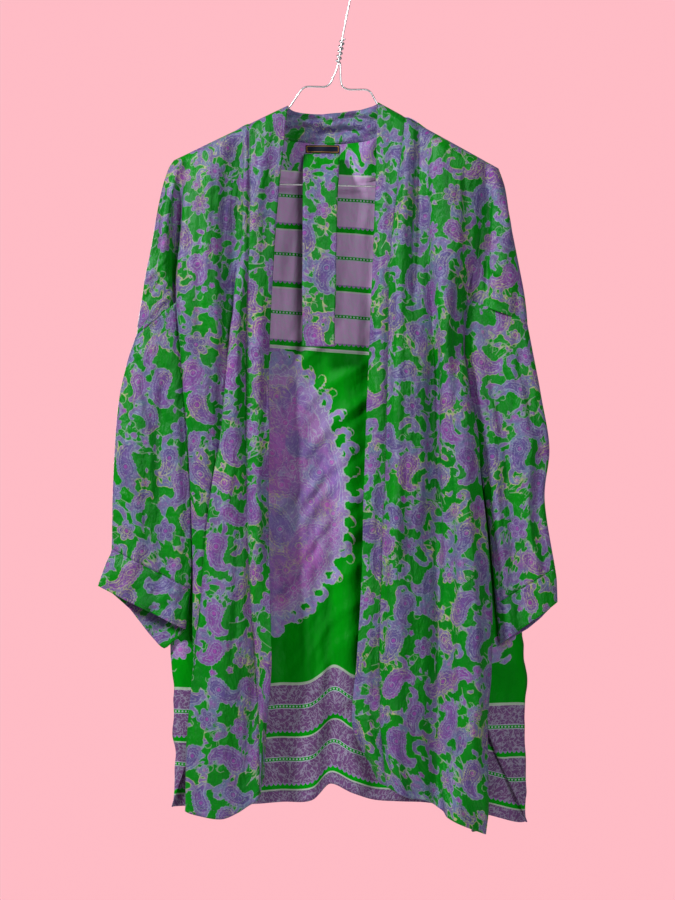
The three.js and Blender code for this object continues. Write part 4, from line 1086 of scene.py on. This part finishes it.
def silkMaterial(name, look, bordered=False):
    material, tree, shader = newMaterial(name)
    cloth = readAttribute(tree, "cloth", "Vector")
    motif, besideX, besideY, petals, scallop, vein, tone, vine, vineNear = (
        readAttribute(tree, field) for field in
        ("motif", "besideX", "besideY", "petals", "scallop", "vein", "tone", "vine", "vineNear"))
    turn = reckon(tree, "ARCTAN2", besideX, besideY)
    heart = reckon(tree, "SQRT", reckon(tree, "MULTIPLY_ADD", besideX, besideX,
                                        times(tree, besideY, besideY)))
    wave = reckon(tree, "ABSOLUTE", reckon(tree, "SINE", times(tree, times(tree, petals, turn), 0.5)))
    notch = times(tree, scallop, reckon(tree, "SUBTRACT", 1.0, wave))
    shaped = above(tree, scallop, 0.5)
    ragged = reckon(tree, "MULTIPLY_ADD", noiseOf(tree, cloth, 0.32, 2), 1.2, -0.6)
    lobes = reckon(tree, "MULTIPLY_ADD", noiseOf(tree, cloth, 0.12, 2), 1.4, -0.5)
    motif = reckon(tree, "ADD", reckon(tree, "ADD", motif, notch), reckon(tree, "ADD", ragged, lobes))
    blotch = noiseOf(tree, cloth, 0.012, 3)
    grain = noiseOf(tree, cloth, 0.11, 4)
    ground = blendColour(tree, blotch, look["deepGreen"], look["green"])
    lively = times(tree, grain, blotch)
    ground = blendColour(tree, times(tree, lively, 0.9), ground, look["paleGreen"])
    patchy = reckon(tree, "MULTIPLY_ADD", noiseOf(tree, cloth, 0.07, 3), 1.6, -0.8)
    mixed = tree.nodes.new("ShaderNodeClamp")
    link(tree, mixed.inputs[0], reckon(tree, "ADD", tone, patchy))
    fill = blendColour(tree, mixed.outputs[0], look["mauve"], look["blueGrey"])
    rich = reckon(tree, "SMOOTH_MIN", times(tree, reckon(tree, "ADD", grain, -0.42), 3.0), 1.0, 0.1)
    rich = most(tree, rich, 0.0)
    fill = blendColour(tree, times(tree, rich, 0.55), fill, look["magenta"])
    depth = remap(tree, motif, -2.6, -4.6, 0.0, 0.85)
    flipped = reckon(tree, "SUBTRACT", 1.0, mixed.outputs[0])
    fill = blendColour(tree, depth, fill, blendColour(tree, flipped, look["violet"], look["rich"]))
    core = below(tree, reckon(tree, "ADD", heart, ragged), 2.2)
    fill = blendColour(tree, times(tree, core, 0.7), fill, look["magenta"])
    inner = below(tree, motif, -1.2)
    sketch = within(tree, noiseOf(tree, cloth, 0.15, 1), 0.5, 0.017)
    sketch = most(tree, sketch, within(tree, noiseOf(tree, cloth, 0.13, 1), 0.4, 0.014))
    sketch = times(tree, sketch, inner)
    drawn = within(tree, noiseOf(tree, cloth, 0.11, 1), 0.56, 0.03)
    fill = blendColour(tree, times(tree, times(tree, drawn, inner), 0.5), fill, look["violet"])
    faded = remap(tree, noiseOf(tree, cloth, 0.16, 2), 0.32, 0.66, 0.25, 0.8)
    spokes = below(tree, wave, 0.13)
    rimTeeth = times(tree, below(tree, wave, 0.4), above(tree, motif, -3.2))
    spokes = most(tree, times(tree, spokes, below(tree, petals, 9.5)), rimTeeth)
    spokes = times(tree, spokes, above(tree, heart, 4.0))
    rings = most(tree, within(tree, motif, -3.2, 0.38), within(tree, motif, -6.4, 0.36))
    rings = most(tree, rings, within(tree, heart, 4.0, 0.45))
    spokes = times(tree, most(tree, spokes, rings), shaped)
    rings = times(tree, most(tree, spokes, below(tree, vein, 0.13)), inner)
    sketch = times(tree, sketch, 0.6)
    lines = times(tree, most(tree, rings, sketch), faded)
    creamy = remap(tree, noiseOf(tree, cloth, 0.018, 2), 0.5, 0.6, 0.0, 0.9)
    drawnLine = blendColour(tree, creamy, look["outline"], look["cream"])
    fill = blendColour(tree, lines, fill, drawnLine)
    edge = within(tree, motif, 0.0, 0.45)
    if bordered:
        bed = reckon(tree, "ADD", readAttribute(tree, "bed"), ragged)
        inBed = below(tree, bed, 0.0)
        waver = reckon(tree, "MULTIPLY_ADD", noiseOf(tree, cloth, 0.08, 2), 14.0, -7.0)
        band = reckon(tree, "ADD", bed, waver)
        bedColour = blendColour(tree, grain, look["mauve"], look["rose"])
        outerBed = blendColour(tree, grain, look["mauve"], look["blueGrey"])
        bedColour = blendColour(tree, below(tree, band, -34.0), bedColour, outerBed)
        ring = times(tree, above(tree, band, -9.0), 0.4)
        bedColour = blendColour(tree, ring, bedColour, look["blueGrey"])
        seams = most(tree, within(tree, band, -9.0, 0.7), within(tree, band, -34.0, 0.7))
        seams = most(tree, seams, within(tree, band, -24.0, 0.5))
        seams = most(tree, seams, within(tree, noiseOf(tree, cloth, 0.12, 1), 0.5, 0.015))
        bedColour = blendColour(tree, times(tree, seams, 0.7), bedColour, look["outline"])
        ground = blendColour(tree, inBed, ground, bedColour)
        ground = blendColour(tree, times(tree, within(tree, bed, 0.3, 0.9), 0.8), ground, look["outline"])
    onVine = times(tree, within(tree, vine, 0.0, 0.55), below(tree, vineNear, 2.6))
    vineColour = blendColour(tree, grain, look["vine"], look["outline"])
    colour = blendColour(tree, times(tree, onVine, 0.5), ground, vineColour)
    colour = blendColour(tree, below(tree, motif, 0.0), colour, fill)
    colour = blendColour(tree, times(tree, edge, faded), colour, drawnLine)
    if bordered:
        colour = borderColours(tree, look, colour, cloth, grain)
    # painted light and shade: value streaked down the cloth, darker and lighter, stands in for the shading of
    # soft hanging folds
    paintedFoldShade = reckon(tree, "MULTIPLY_ADD", streakNoise(tree, cloth, (0.05, 0.012, 1), 3), 0.7, 0.6)
    shade = tree.nodes.new("ShaderNodeHueSaturation")
    link(tree, shade.inputs["Value"], paintedFoldShade)
    shade.inputs["Saturation"].default_value = 1.04
    link(tree, shade.inputs["Color"], colour)
    link(tree, shader.inputs["Base Color"], shade.outputs[0])
    shader.inputs["Roughness"].default_value = look["roughness"]
    shader.inputs["Specular IOR Level"].default_value = look["gloss"]
    shader.inputs["Specular Tint"].default_value = (0.72, 0.7, 1, 1)
    shader.inputs["Sheen Weight"].default_value = 0.02
    shader.inputs["Sheen Roughness"].default_value = 0.4
    shader.inputs["Sheen Tint"].default_value = (0.6, 0.66, 1, 1)
    separate = tree.nodes.new("ShaderNodeSeparateXYZ")
    link(tree, separate.inputs[0], cloth)
    warp = reckon(tree, "SINE", times(tree, separate.outputs[0], 9.0))
    weft = reckon(tree, "SINE", times(tree, separate.outputs[1], 9.0))
    slub = streakNoise(tree, cloth, (0.05, 0.9, 1), 2)
    weave = reckon(tree, "ADD", times(tree, times(tree, warp, weft), 0.5), slub)
    fine = tree.nodes.new("ShaderNodeBump")
    fine.inputs["Distance"].default_value = look["weaveDepth"]
    link(tree, fine.inputs["Height"], weave)
    crinkle = reckon(tree, "ADD", streakNoise(tree, cloth, (0.16, 0.05, 1), 4),
                     times(tree, streakNoise(tree, cloth, (0.08, 0.07, 1), 3), 0.9))
    coarse = tree.nodes.new("ShaderNodeBump")
    coarse.inputs["Distance"].default_value = look["crinkleDepth"]
    link(tree, coarse.inputs["Height"], crinkle)
    link(tree, coarse.inputs["Normal"], fine.outputs[0])
    link(tree, shader.inputs["Normal"], coarse.outputs[0])
    return material


def borderColours(tree, look, colour, cloth, grain):  # striped block below the neck and stripes above the hem
    drop = readAttribute(tree, "drop")
    rise = readAttribute(tree, "rise")
    across = readAttribute(tree, "across")
    drop = reckon(tree, "MULTIPLY_ADD", across, -borders["tilt"], drop)
    cloudy = blendColour(tree, grain, look["hemMauve"], look["hemRose"])
    plumShare = times(tree, streakNoise(tree, cloth, (0.09, 0.02, 1), 3), 0.7)
    cloudy = blendColour(tree, plumShare, cloudy, look["plum"])
    # the upper block blends towards a paler mauve: partly the block's own lighter colour, partly painted
    # light that lifts the shade the fronts cast on the inside of the back
    inUpper = below(tree, drop, borders["blockFoot"])
    cloudy = blendColour(tree, times(tree, inUpper, 0.72), cloudy, look["paintedLitMauve"])
    figure = most(tree, within(tree, noiseOf(tree, cloth, 0.14, 1), 0.5, 0.03),
                  within(tree, noiseOf(tree, cloth, 0.18, 1), 0.42, 0.025))
    cloudy = blendColour(tree, times(tree, figure, 0.5), cloudy, look["outline"])
    dots = reckon(tree, "SINE", times(tree, across, 1.5))
    scallop = times(tree, reckon(tree, "ABSOLUTE", reckon(tree, "SINE", times(tree, across, 0.55))), 3.0)

    def stripes(phase, pitch):  # 0 at the pale line that starts each repeat
        stripe = cloudy
        thin = within(tree, phase, pitch * 0.43, 2.0)
        stripe = blendColour(tree, thin, stripe, look["green"])
        dotted = times(tree, within(tree, phase, pitch * 0.43, 1.0), above(tree, dots, 0.1))
        stripe = blendColour(tree, dotted, stripe, look["outline"])
        stripe = blendColour(tree, within(tree, phase, pitch * 0.39, 0.45), stripe, look["outline"])
        stripe = blendColour(tree, within(tree, phase, pitch * 0.47, 0.45), stripe, look["outline"])
        deep = within(tree, phase, pitch * 0.945, 4.0)
        stripe = blendColour(tree, deep, stripe, look["green"])
        bite = below(tree, reckon(tree, "SUBTRACT", phase, pitch * 0.945 - 4.0), scallop)
        bite = times(tree, times(tree, bite, deep), 0.9)
        stripe = blendColour(tree, bite, stripe, look["mauve"])
        line = most(tree, within(tree, phase, 0.8, 0.8), within(tree, phase, pitch, 0.25))
        return blendColour(tree, times(tree, line, 0.8), stripe, look["paleLine"])

    upper = reckon(tree, "MODULO", reckon(tree, "SUBTRACT", drop, borders["blockTop"]), borders["pitch"])
    inBlock = times(tree, above(tree, drop, borders["blockTop"]), below(tree, drop, borders["blockFoot"]))
    colour = blendColour(tree, inBlock, colour, stripes(upper, borders["pitch"]))
    lower = reckon(tree, "MODULO", reckon(tree, "SUBTRACT", borders["hemBand"], rise), borders["hemPitch"])
    inBorder = below(tree, rise, borders["hemBand"])
    colour = blendColour(tree, inBorder, colour, stripes(lower, borders["hemPitch"]))
    ends = most(tree, within(tree, drop, borders["blockFoot"] + 1, 0.9),
                within(tree, rise, borders["hemBand"] + 1, 0.9))
    return blendColour(tree, times(tree, ends, 0.85), colour, look["paleLine"])


printedSilk = silkMaterial("printedSilk", silk)
# painted light: the back's colours are a brighter copy of the silk's, lifting the shade the fronts cast on
# the inside of the back
borderedLitLook = dict(
    silk, mauve=(0.28, 0.16, 0.4), rose=(0.33, 0.16, 0.37), plum=(0.11, 0.055, 0.15),
    paintedLitMauve=(0.6, 0.38, 0.64), green=(0.001, 0.27, 0.003), deepGreen=(0.001, 0.17, 0.006),
    paleGreen=(0.003, 0.29, 0.004), blueGrey=(0.19, 0.22, 0.4), paleLine=(0.42, 0.5, 0.42),
    hemMauve=(0.135, 0.07, 0.19), hemRose=(0.19, 0.08, 0.2),
    violet=(0.16, 0.11, 0.32), rich=(0.32, 0.11, 0.38), magenta=(0.42, 0.1, 0.42), outline=(0.36, 0.38, 0.46),
    crinkleDepth=0.0009, gloss=0.06,
)
borderedSilk = silkMaterial("borderedSilk", borderedLitLook, bordered=True)
print("silk materials ready")


# ---- cloth pieces
def addCloth(name, points, active, fields, material, wall=None, anchor=0):
    piece = sheetMesh(name, points, active, fields, anchor)
    piece.data.materials.append(material)
    giveWall(piece, wall or hang["wall"])
    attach(piece, "root")
    print(name, len(piece.data.polygons), "quads", round(clothArea(points, active), 4), "square metres")
    return piece


def addSilk(name, points, active, seed, tone, anchor=0):
    fields = printFields(points, active, seed, tone, anchor)
    return addCloth(name, points, active, fields, printedSilk, anchor=anchor)


def addFront(side, front, sheet, tone):
    points, active = sheet["points"], sheet["active"]
    panel = addSilk(f"frontPanel_{side}", points, part(active, sheet["band"]), front["seed"], tone)
    band = addSilk(f"frontBand_{side}", points, part(active, 0, sheet["band"]), front["seed"] + 100, tone)
    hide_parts(f"front_{side}")
    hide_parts(f"band_{side}")
    return panel, band


leftPanel, leftBand = addFront("left", leftFront, leftSheet, 0.55)
rightPanel, rightBand = addFront("right", rightFront, rightSheet, 0.6)

backPoints = backCloth["points"]
backFields = printFields(backPoints, backCloth["body"], 201, 0.35, backCloth["middle"])
backFields = medallionPrint(backFields, backPoints, 12)
backFields["drop"] = -backPoints[..., 2]
backFields["rise"] = backPoints[..., 2] - backPoints[-1:, :, 2]
backFields["across"] = backPoints[..., 0]
backPiece = addCloth("backPanel", backPoints, backCloth["body"], backFields, borderedSilk,
                     anchor=backCloth["middle"])
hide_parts("back_panel")
neckFields = printFields(backPoints, backCloth["neck"], 210, 0.7, backCloth["middle"])
neckFields["motif"] = neckFields["motif"] - 1.6
neckPiece = addCloth("neckBand", backPoints, backCloth["neck"], neckFields, printedSilk,
                     anchor=backCloth["middle"])
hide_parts("neck_band")


def addSleeve(side, tube, seed, tone):
    points = tube["points"]
    active = np.ones((points.shape[0] - 1, points.shape[1] - 1), bool)
    fold = points.shape[1] // 2
    sleeve = addSilk(f"sleeve_{side}_cloth", points, part(active, lastRow=tube["cuff"]), seed, tone, fold)
    cuff = addSilk(f"cuff_{side}_cloth", points, part(active, firstRow=tube["cuff"]), seed + 1, tone, fold)
    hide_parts(f"sleeve_{side}")
    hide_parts(f"cuff_{side}")
    return sleeve, cuff


leftSleevePiece, leftCuffPiece = addSleeve("left", leftTube, 301, 0.7)
rightSleevePiece, rightCuffPiece = addSleeve("right", rightTube, 340, 0.65)

# ---- belt folded in two, and the bare label
belt = {
    "topWidth": 45,
    "footWidth": 40,
    "pitch": 2.3,
    "columns": 18,
    "path": [(-14, 17.5, -230), (-14.5, 12, -241), (-15, 4, -252), (-15, -2.8, -262), (-15.5, -2.2, -270),
             (-16, -2.2, -300), (-17, -2.2, -380), (-18, -2.2, -468)],
    "steps": [5, 5, 5, 4, 12, 32, 35],
    "creases": [
        (-34, -280, -30, -440, 0.5, 5),
        (-4, -275, -8, -460, -0.5, 5),
        (-20, -300, -18, -400, 0.4, 6),
    ],
}


def addBelt(settings):
    rear = smoothLine(settings["path"], settings["steps"])
    down = np.gradient(rear, axis=0)
    down /= np.linalg.norm(down, axis=-1, keepdims=True)
    out = np.stack([np.zeros(len(rear)), down[:, 2], -down[:, 1]], axis=-1)
    frontLayer = rear + out * settings["pitch"]
    centre = (rear[-1] + frontLayer[-1]) / 2
    angles = np.radians([22, 45, 67, 90, 113, 135, 158])
    turn = np.stack([np.zeros(7), -np.cos(angles), -np.sin(angles)], axis=-1) * settings["pitch"] / 2 + centre
    path = np.concatenate([frontLayer, turn, rear[::-1]])
    top, foot = settings["path"][0][2], settings["path"][-1][2]
    share = np.clip((top - path[:, 2]) / (top - foot), 0, 1)
    width = settings["topWidth"] + (settings["footWidth"] - settings["topWidth"]) * share
    width = width + 0.7 * softNoise(path[:, 2] / 26, 0 * share, 5)
    across = np.linspace(-0.5, 0.5, settings["columns"] + 1)
    points = np.repeat(path[:, None, :], len(across), axis=1)
    points[..., 0] += across[None] * width[:, None]
    ripple = sum(nearCrease(points, crease) for crease in settings["creases"])
    ripple = ripple + 0.3 * softNoise(points[..., 0] / 13, points[..., 2] / 45, 8)
    edgeRoll = 0.35 * (np.abs(across[None]) * 2) ** 6
    hangs = smoothStep(-262, -285, points[..., 2])
    points[..., 1] += (edgeRoll - ripple * 0.8 - 0.35) * hangs
    active = np.ones((points.shape[0] - 1, points.shape[1] - 1), bool)
    piece = addSilk("tieBelt", points, active, 402, 0.45)
    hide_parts("belt")
    return piece


beltPiece = addBelt(belt)

label = {
    "width": 42,
    "height": 10,
    "x": -13,
    "top": -217,
    "wall": 0.7,
    "lift": 1.3,
    "navy": (0.002, 0.003, 0.012),
    "gold": (0.55, 0.28, 0.04),
}


def faceDepth(points, x, z):  # y of the back sheet at x and z
    flat = points[backCloth["bandRows"]:backCloth["armhole"]]
    away = (flat[..., 0] - x) ** 2 + (flat[..., 2] - z) ** 2
    near = np.argsort(away.ravel())[:4]
    weight = 1 / (away.ravel()[near] + 0.1)
    return float((flat[..., 1].ravel()[near] * weight).sum() / weight.sum())


def addLabel(settings):
    columns, rows = 28, 8
    points = np.zeros((rows + 1, columns + 1, 3))
    for i in range(rows + 1):
        for j in range(columns + 1):
            x = settings["x"] + (j / columns - 0.5) * settings["width"]
            z = settings["top"] - settings["height"] * i / rows
            points[i, j] = (x, faceDepth(backPoints, x, z) - settings["lift"], z)
    cornerLift = (np.abs(np.linspace(-1, 1, columns + 1)) ** 4)[None] * 0.25
    points[..., 1] += cornerLift
    edgeRow = np.minimum(np.arange(rows + 1), rows - np.arange(rows + 1)) * settings["height"] / rows
    edgeColumn = np.minimum(np.arange(columns + 1), columns - np.arange(columns + 1))
    edgeColumn = edgeColumn * settings["width"] / columns
    rim = np.minimum(edgeRow[:, None], edgeColumn[None])
    active = np.ones((rows, columns), bool)
    material, tree, shader = newMaterial("wovenLabel")
    cloth = readAttribute(tree, "cloth", "Vector")
    rimValue = readAttribute(tree, "rim")
    gold = within(tree, rimValue, 1.35, 0.28)
    threads = streakNoise(tree, cloth, (3.0, 0.8, 1), 2)
    navy = blendColour(tree, threads, settings["navy"], tuple(2.2 * c for c in settings["navy"]))
    goldTone = blendColour(tree, threads, settings["gold"], tuple(0.5 * c for c in settings["gold"]))
    link(tree, shader.inputs["Base Color"], blendColour(tree, gold, navy, goldTone))
    shader.inputs["Roughness"].default_value = 0.7
    shader.inputs["Specular IOR Level"].default_value = 0.2
    bump = tree.nodes.new("ShaderNodeBump")
    bump.inputs["Distance"].default_value = 0.0001
    link(tree, bump.inputs["Height"], reckon(tree, "ADD", threads, times(tree, gold, 0.8)))
    link(tree, shader.inputs["Normal"], bump.outputs[0])
    piece = addCloth("backNeckLabel", points, active, {"rim": rim}, material, settings["wall"])
    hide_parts("label")
    return piece


labelPiece = addLabel(label)

# ---- wire hanger: one wire from the hook down the twist, round both arms and back up
hanger = {
    "radius": 1.1,
    "sides": 14,
    "hookRadius": 24,
    "twistTop": (11.8, -86),
    "twistFoot": (6.2, -119),
    "turns": 5,
    "armDrop": 2.2 / math.cos(math.radians(28)) + 0.2,
    "tipBend": 9,
    "barLeft": -265.4,
    "barRight": -274.2,
    "zinc": (0.78, 0.79, 0.81),
    "darkZinc": (0.45, 0.46, 0.48),
    "roughness": 0.3,
}


def wirePoints(settings):
    radius = settings["hookRadius"]
    centreZ = settings["radius"] - radius
    topX, topZ = settings["twistTop"]
    footX, footZ = settings["twistFoot"]

    def under(shoulder, x):  # where the wire runs below the cloth of a shoulder
        return shoulderHeight(shoulder, x) - settings["armDrop"]

    hook = []
    for degrees in np.arange(205, -8.001, -21.3):
        angle = math.radians(degrees)
        hook.append((radius * math.cos(angle), 0, centreZ + radius * math.sin(angle)))
    hook += [(21, 0, -40), (17, 0, -60), (topX, 0, topZ), (footX, 0, footZ)]
    leftArm = [(4.4, 0, -126), (0.6, 0, -134.5), (-3, 0, -142.5), (-9, 0, -147), (-20, 0, -147.2),
               (-34, 0, -147.6), (-38.5, 0, -150.5), (-49, 0, -165.5)]
    leftArm += [(x, 0, under(leftShoulder, x)) for x in (-54.5, -62, -128, -193)]
    leftTipZ, rightTipZ = under(leftShoulder, -193), under(rightShoulder, 198)
    barLeft, barRight, bend = settings["barLeft"], settings["barRight"], settings["tipBend"]
    bar = [(-198.5, 0, leftTipZ - 0.55 * bend), (-200.5, 0, barLeft + 0.6 * bend), (-195.5, 0, barLeft),
           (-184, 0, barLeft - 0.2), (0, 0, (barLeft + barRight) / 2), (188, 0, barRight + 0.2),
           (199, 0, barRight), (204, 0, barRight + 0.6 * bend), (202.5, 0, rightTipZ - 0.55 * bend)]
    rightArm = [(footX + 2.8, 0, footZ - 0.6), (9.2, 0, -128), (9.6, 0, -138), (12, 0, -147), (18, 0, -150.4),
                (30, 0, -150.8), (42, 0, -151.2), (46.5, 0, -154), (52, 0, -163.5)]
    rightArm += [(x, 0, under(rightShoulder, x)) for x in (55.5, 64, 134, 198)]
    wrap = []
    wrapSteps = settings["turns"] * 12
    reach = 2 * settings["radius"] + 0.3
    for k in range(wrapSteps + 1):
        share = k / wrapSteps
        angle = 2 * math.pi * settings["turns"] * share
        wrap.append((topX + (footX - topX) * share + reach * math.cos(angle), reach * math.sin(angle),
                     topZ - 2 + (footZ + 1 - topZ + 2) * share))
    return hook + leftArm + bar + rightArm[::-1] + wrap[::-1]


def addHanger(settings):
    points = np.array(wirePoints(settings), float)
    gaps = np.linalg.norm(np.diff(points, axis=0), axis=1)
    steps = [int(np.clip(gap / 2.5, 2, 14)) for gap in gaps]
    path = smoothLine(points, steps)
    tangent = np.gradient(path, axis=0)
    tangent /= np.linalg.norm(tangent, axis=1, keepdims=True)
    side = np.array([0.0, 1.0, 0.0])
    rings = []
    for place, along in zip(path, tangent):
        side = side - along * side.dot(along)
        side /= np.linalg.norm(side)
        other = np.cross(along, side)
        for k in range(settings["sides"]):
            angle = 2 * math.pi * k / settings["sides"]
            rings.append(place + settings["radius"] * (math.cos(angle) * side + math.sin(angle) * other))
    count, sides = len(path), settings["sides"]
    faces = []
    for i in range(count - 1):
        for k in range(sides):
            n = (k + 1) % sides
            faces.append((i * sides + k, i * sides + n, (i + 1) * sides + n, (i + 1) * sides + k))
    faces.append(tuple(reversed(range(sides))))
    faces.append(tuple((count - 1) * sides + k for k in range(sides)))
    mesh = bpy.data.meshes.new("hangerWire")
    mesh.from_pydata((np.array(rings) / 1000).tolist(), [], faces)
    mesh.shade_smooth()
    piece = bpy.data.objects.new("hangerWire", mesh)
    bpy.context.scene.collection.objects.link(piece)
    material, tree, shader = newMaterial("zincWire")
    places = tree.nodes.new("ShaderNodeTexCoord").outputs["Object"]
    dull = noiseOf(tree, places, 160.0, 4)
    link(tree, shader.inputs["Base Color"], blendColour(tree, dull, settings["darkZinc"], settings["zinc"]))
    shader.inputs["Metallic"].default_value = 1.0
    rough = reckon(tree, "MULTIPLY_ADD", noiseOf(tree, places, 500.0, 2), 0.25, settings["roughness"] - 0.1)
    link(tree, shader.inputs["Roughness"], rough)
    bump = tree.nodes.new("ShaderNodeBump")
    bump.inputs["Distance"].default_value = 0.00006
    link(tree, bump.inputs["Height"], noiseOf(tree, places, 900.0, 3))
    link(tree, shader.inputs["Normal"], bump.outputs[0])
    mesh.materials.append(material)
    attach(piece, "root")
    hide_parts("hanger_hook", "hanger_wrap", "hanger_arm_left", "hanger_arm_right", "hanger_bar")
    return piece


wirePiece = addHanger(hanger)
print("hanger wire", len(wirePiece.data.polygons))

# ---- topstitching along seams and hems
stitching = {
    "pitch": 0.0034,
    "length": 0.0025,
    "radius": 0.00027,
    "lift": 0.62,  # millimetres from the middle of the cloth's wall
    "colour": (0.05, 0.15, 0.09),
    "hemRows": 4,
    "slit": 125,
    "bandJoin": -285,  # height of the join across the right band
}


def stitchGroup():
    tree = bpy.data.node_groups.new("stitchesAlongPath", "GeometryNodeTree")
    face = tree.interface
    face.new_socket("Geometry", in_out="INPUT", socket_type="NodeSocketGeometry")
    for name in ("Pitch", "Stitch Length", "Thread Radius"):
        face.new_socket(name, in_out="INPUT", socket_type="NodeSocketFloat")
    face.new_socket("Thread", in_out="INPUT", socket_type="NodeSocketMaterial")
    face.new_socket("Geometry", in_out="OUTPUT", socket_type="NodeSocketGeometry")
    given = tree.nodes.new("NodeGroupInput").outputs
    spaced = tree.nodes.new("GeometryNodeResampleCurve")
    spaced.mode = "LENGTH"
    tree.links.new(given["Geometry"], spaced.inputs["Curve"])
    tree.links.new(given["Pitch"], spaced.inputs["Length"])
    thread = tree.nodes.new("GeometryNodeMeshUVSphere")
    thread.inputs["Segments"].default_value = 6
    thread.inputs["Rings"].default_value = 4
    tree.links.new(given["Thread Radius"], thread.inputs["Radius"])
    ratio = tree.nodes.new("ShaderNodeMath")
    ratio.operation = "DIVIDE"
    tree.links.new(given["Stitch Length"], ratio.inputs[0])
    double = tree.nodes.new("ShaderNodeMath")
    double.operation = "MULTIPLY"
    tree.links.new(given["Thread Radius"], double.inputs[0])
    double.inputs[1].default_value = 2.0
    tree.links.new(double.outputs[0], ratio.inputs[1])
    vary = tree.nodes.new("FunctionNodeRandomValue")
    vary.data_type = "FLOAT"
    vary.inputs[2].default_value = 0.88
    vary.inputs[3].default_value = 1.08
    vary.inputs["Seed"].default_value = 4
    long = tree.nodes.new("ShaderNodeMath")
    long.operation = "MULTIPLY"
    tree.links.new(ratio.outputs[0], long.inputs[0])
    tree.links.new(vary.outputs[1], long.inputs[1])
    size = tree.nodes.new("ShaderNodeCombineXYZ")
    size.inputs[0].default_value = 1.0
    size.inputs[1].default_value = 1.0
    tree.links.new(long.outputs[0], size.inputs[2])
    tangent = tree.nodes.new("GeometryNodeInputTangent")
    turned = tree.nodes.new("FunctionNodeAlignRotationToVector")
    turned.axis = "Z"
    tree.links.new(tangent.outputs[0], turned.inputs["Vector"])
    placed = tree.nodes.new("GeometryNodeInstanceOnPoints")
    tree.links.new(spaced.outputs[0], placed.inputs["Points"])
    tree.links.new(thread.outputs["Mesh"], placed.inputs["Instance"])
    tree.links.new(turned.outputs[0], placed.inputs["Rotation"])
    tree.links.new(size.outputs[0], placed.inputs["Scale"])
    real = tree.nodes.new("GeometryNodeRealizeInstances")
    tree.links.new(placed.outputs[0], real.inputs[0])
    coloured = tree.nodes.new("GeometryNodeSetMaterial")
    tree.links.new(real.outputs[0], coloured.inputs["Geometry"])
    tree.links.new(given["Thread"], coloured.inputs["Material"])
    tree.links.new(coloured.outputs[0], tree.nodes.new("NodeGroupOutput").inputs[0])
    return tree


def sewnLine(points, facing, rows, columns, lift):  # a path just off the cloth's face
    normals = sheetNormals(points, facing)
    return points[rows, columns] + normals[rows, columns] * lift


def seamLines(settings):
    lift, up, slit = settings["lift"], settings["hemRows"], settings["slit"]
    lines = []
    for front, sheet in ((leftFront, leftSheet), (rightFront, rightSheet)):
        points, facing, seam, band = sheet["points"], front["facing"], sheet["seam"], sheet["band"]
        rows = np.arange(int(np.searchsorted(frontRows, 3)), points.shape[0] - 1)
        lines.append(sewnLine(points, facing, rows, band - 1, lift))
        lines.append(sewnLine(points, facing, points.shape[0] - 1 - up, np.arange(1, seam - 1), lift))
        if front is rightFront:
            join = int(np.abs(points[:, band // 2, 2] - settings["bandJoin"]).argmin())
            lines.append(sewnLine(points, facing, join, np.arange(1, band), lift))
        low = rows[points[rows, seam, 2] < points[-1, seam, 2] + slit]
        lines.append(sewnLine(points, facing, low, seam - 3, lift))
    points = backCloth["points"]
    seams = np.flatnonzero(backCloth["body"][-1])
    for side in (1, -1):
        lines.append(sewnLine(points, side, points.shape[0] - 1 - up, seams[1:-1], lift))
        neck = np.flatnonzero(backCloth["neck"][0])
        lines.append(sewnLine(points, side, backCloth["bandRows"] - 1, neck[1:-1], lift))
        lines.append(sewnLine(points, side, 2, neck[1:-1], lift))
    for sleeve, tube in ((leftSleeve, leftTube), (rightSleeve, rightTube)):
        points = tube["points"]
        columns = np.arange(1, points.shape[1] - 1)
        for row in (2, tube["cuff"] - 1, tube["cuff"] + 2, points.shape[0] - 4):
            lines.append(sewnLine(points, sleeve["facing"], row, columns, lift))
    return lines


def addStitches(settings, lines):
    material, tree, shader = newMaterial("sewingThread")
    places = tree.nodes.new("ShaderNodeTexCoord").outputs["Object"]
    twist = noiseOf(tree, stretched(tree, places, (1, 1, 3)), 900.0, 2)
    dark = tuple(0.55 * c for c in settings["colour"])
    link(tree, shader.inputs["Base Color"], blendColour(tree, twist, dark, settings["colour"]))
    shader.inputs["Roughness"].default_value = 0.6
    curve = bpy.data.curves.new("seamPaths", "CURVE")
    curve.dimensions = "3D"
    for line in lines:
        spline = curve.splines.new("POLY")
        spline.points.add(len(line) - 1)
        spline.points.foreach_set("co", np.c_[line / 1000, np.ones(len(line))].ravel())
    paths = bpy.data.objects.new("seamPaths", curve)
    bpy.context.scene.collection.objects.link(paths)
    modifier = paths.modifiers.new("stitches", "NODES")
    modifier.node_group = stitchGroup()
    values = {"Pitch": settings["pitch"], "Stitch Length": settings["length"],
              "Thread Radius": settings["radius"], "Thread": material}
    for item in modifier.node_group.interface.items_tree:
        if item.in_out == "INPUT" and item.name in values:
            modifier[item.identifier] = values[item.name]
    drawn = paths.evaluated_get(bpy.context.evaluated_depsgraph_get())
    mesh = bpy.data.meshes.new_from_object(drawn)
    bpy.data.objects.remove(paths)
    mesh.name = "seamStitches"
    if not mesh.materials:
        mesh.materials.append(material)
    mesh.shade_smooth()
    piece = bpy.data.objects.new("seamStitches", mesh)
    bpy.context.scene.collection.objects.link(piece)
    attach(piece, "root")
    return piece


stitchPiece = addStitches(stitching, seamLines(stitching))
print("stitches", len(stitchPiece.data.polygons), "faces")

print("pieces ready")
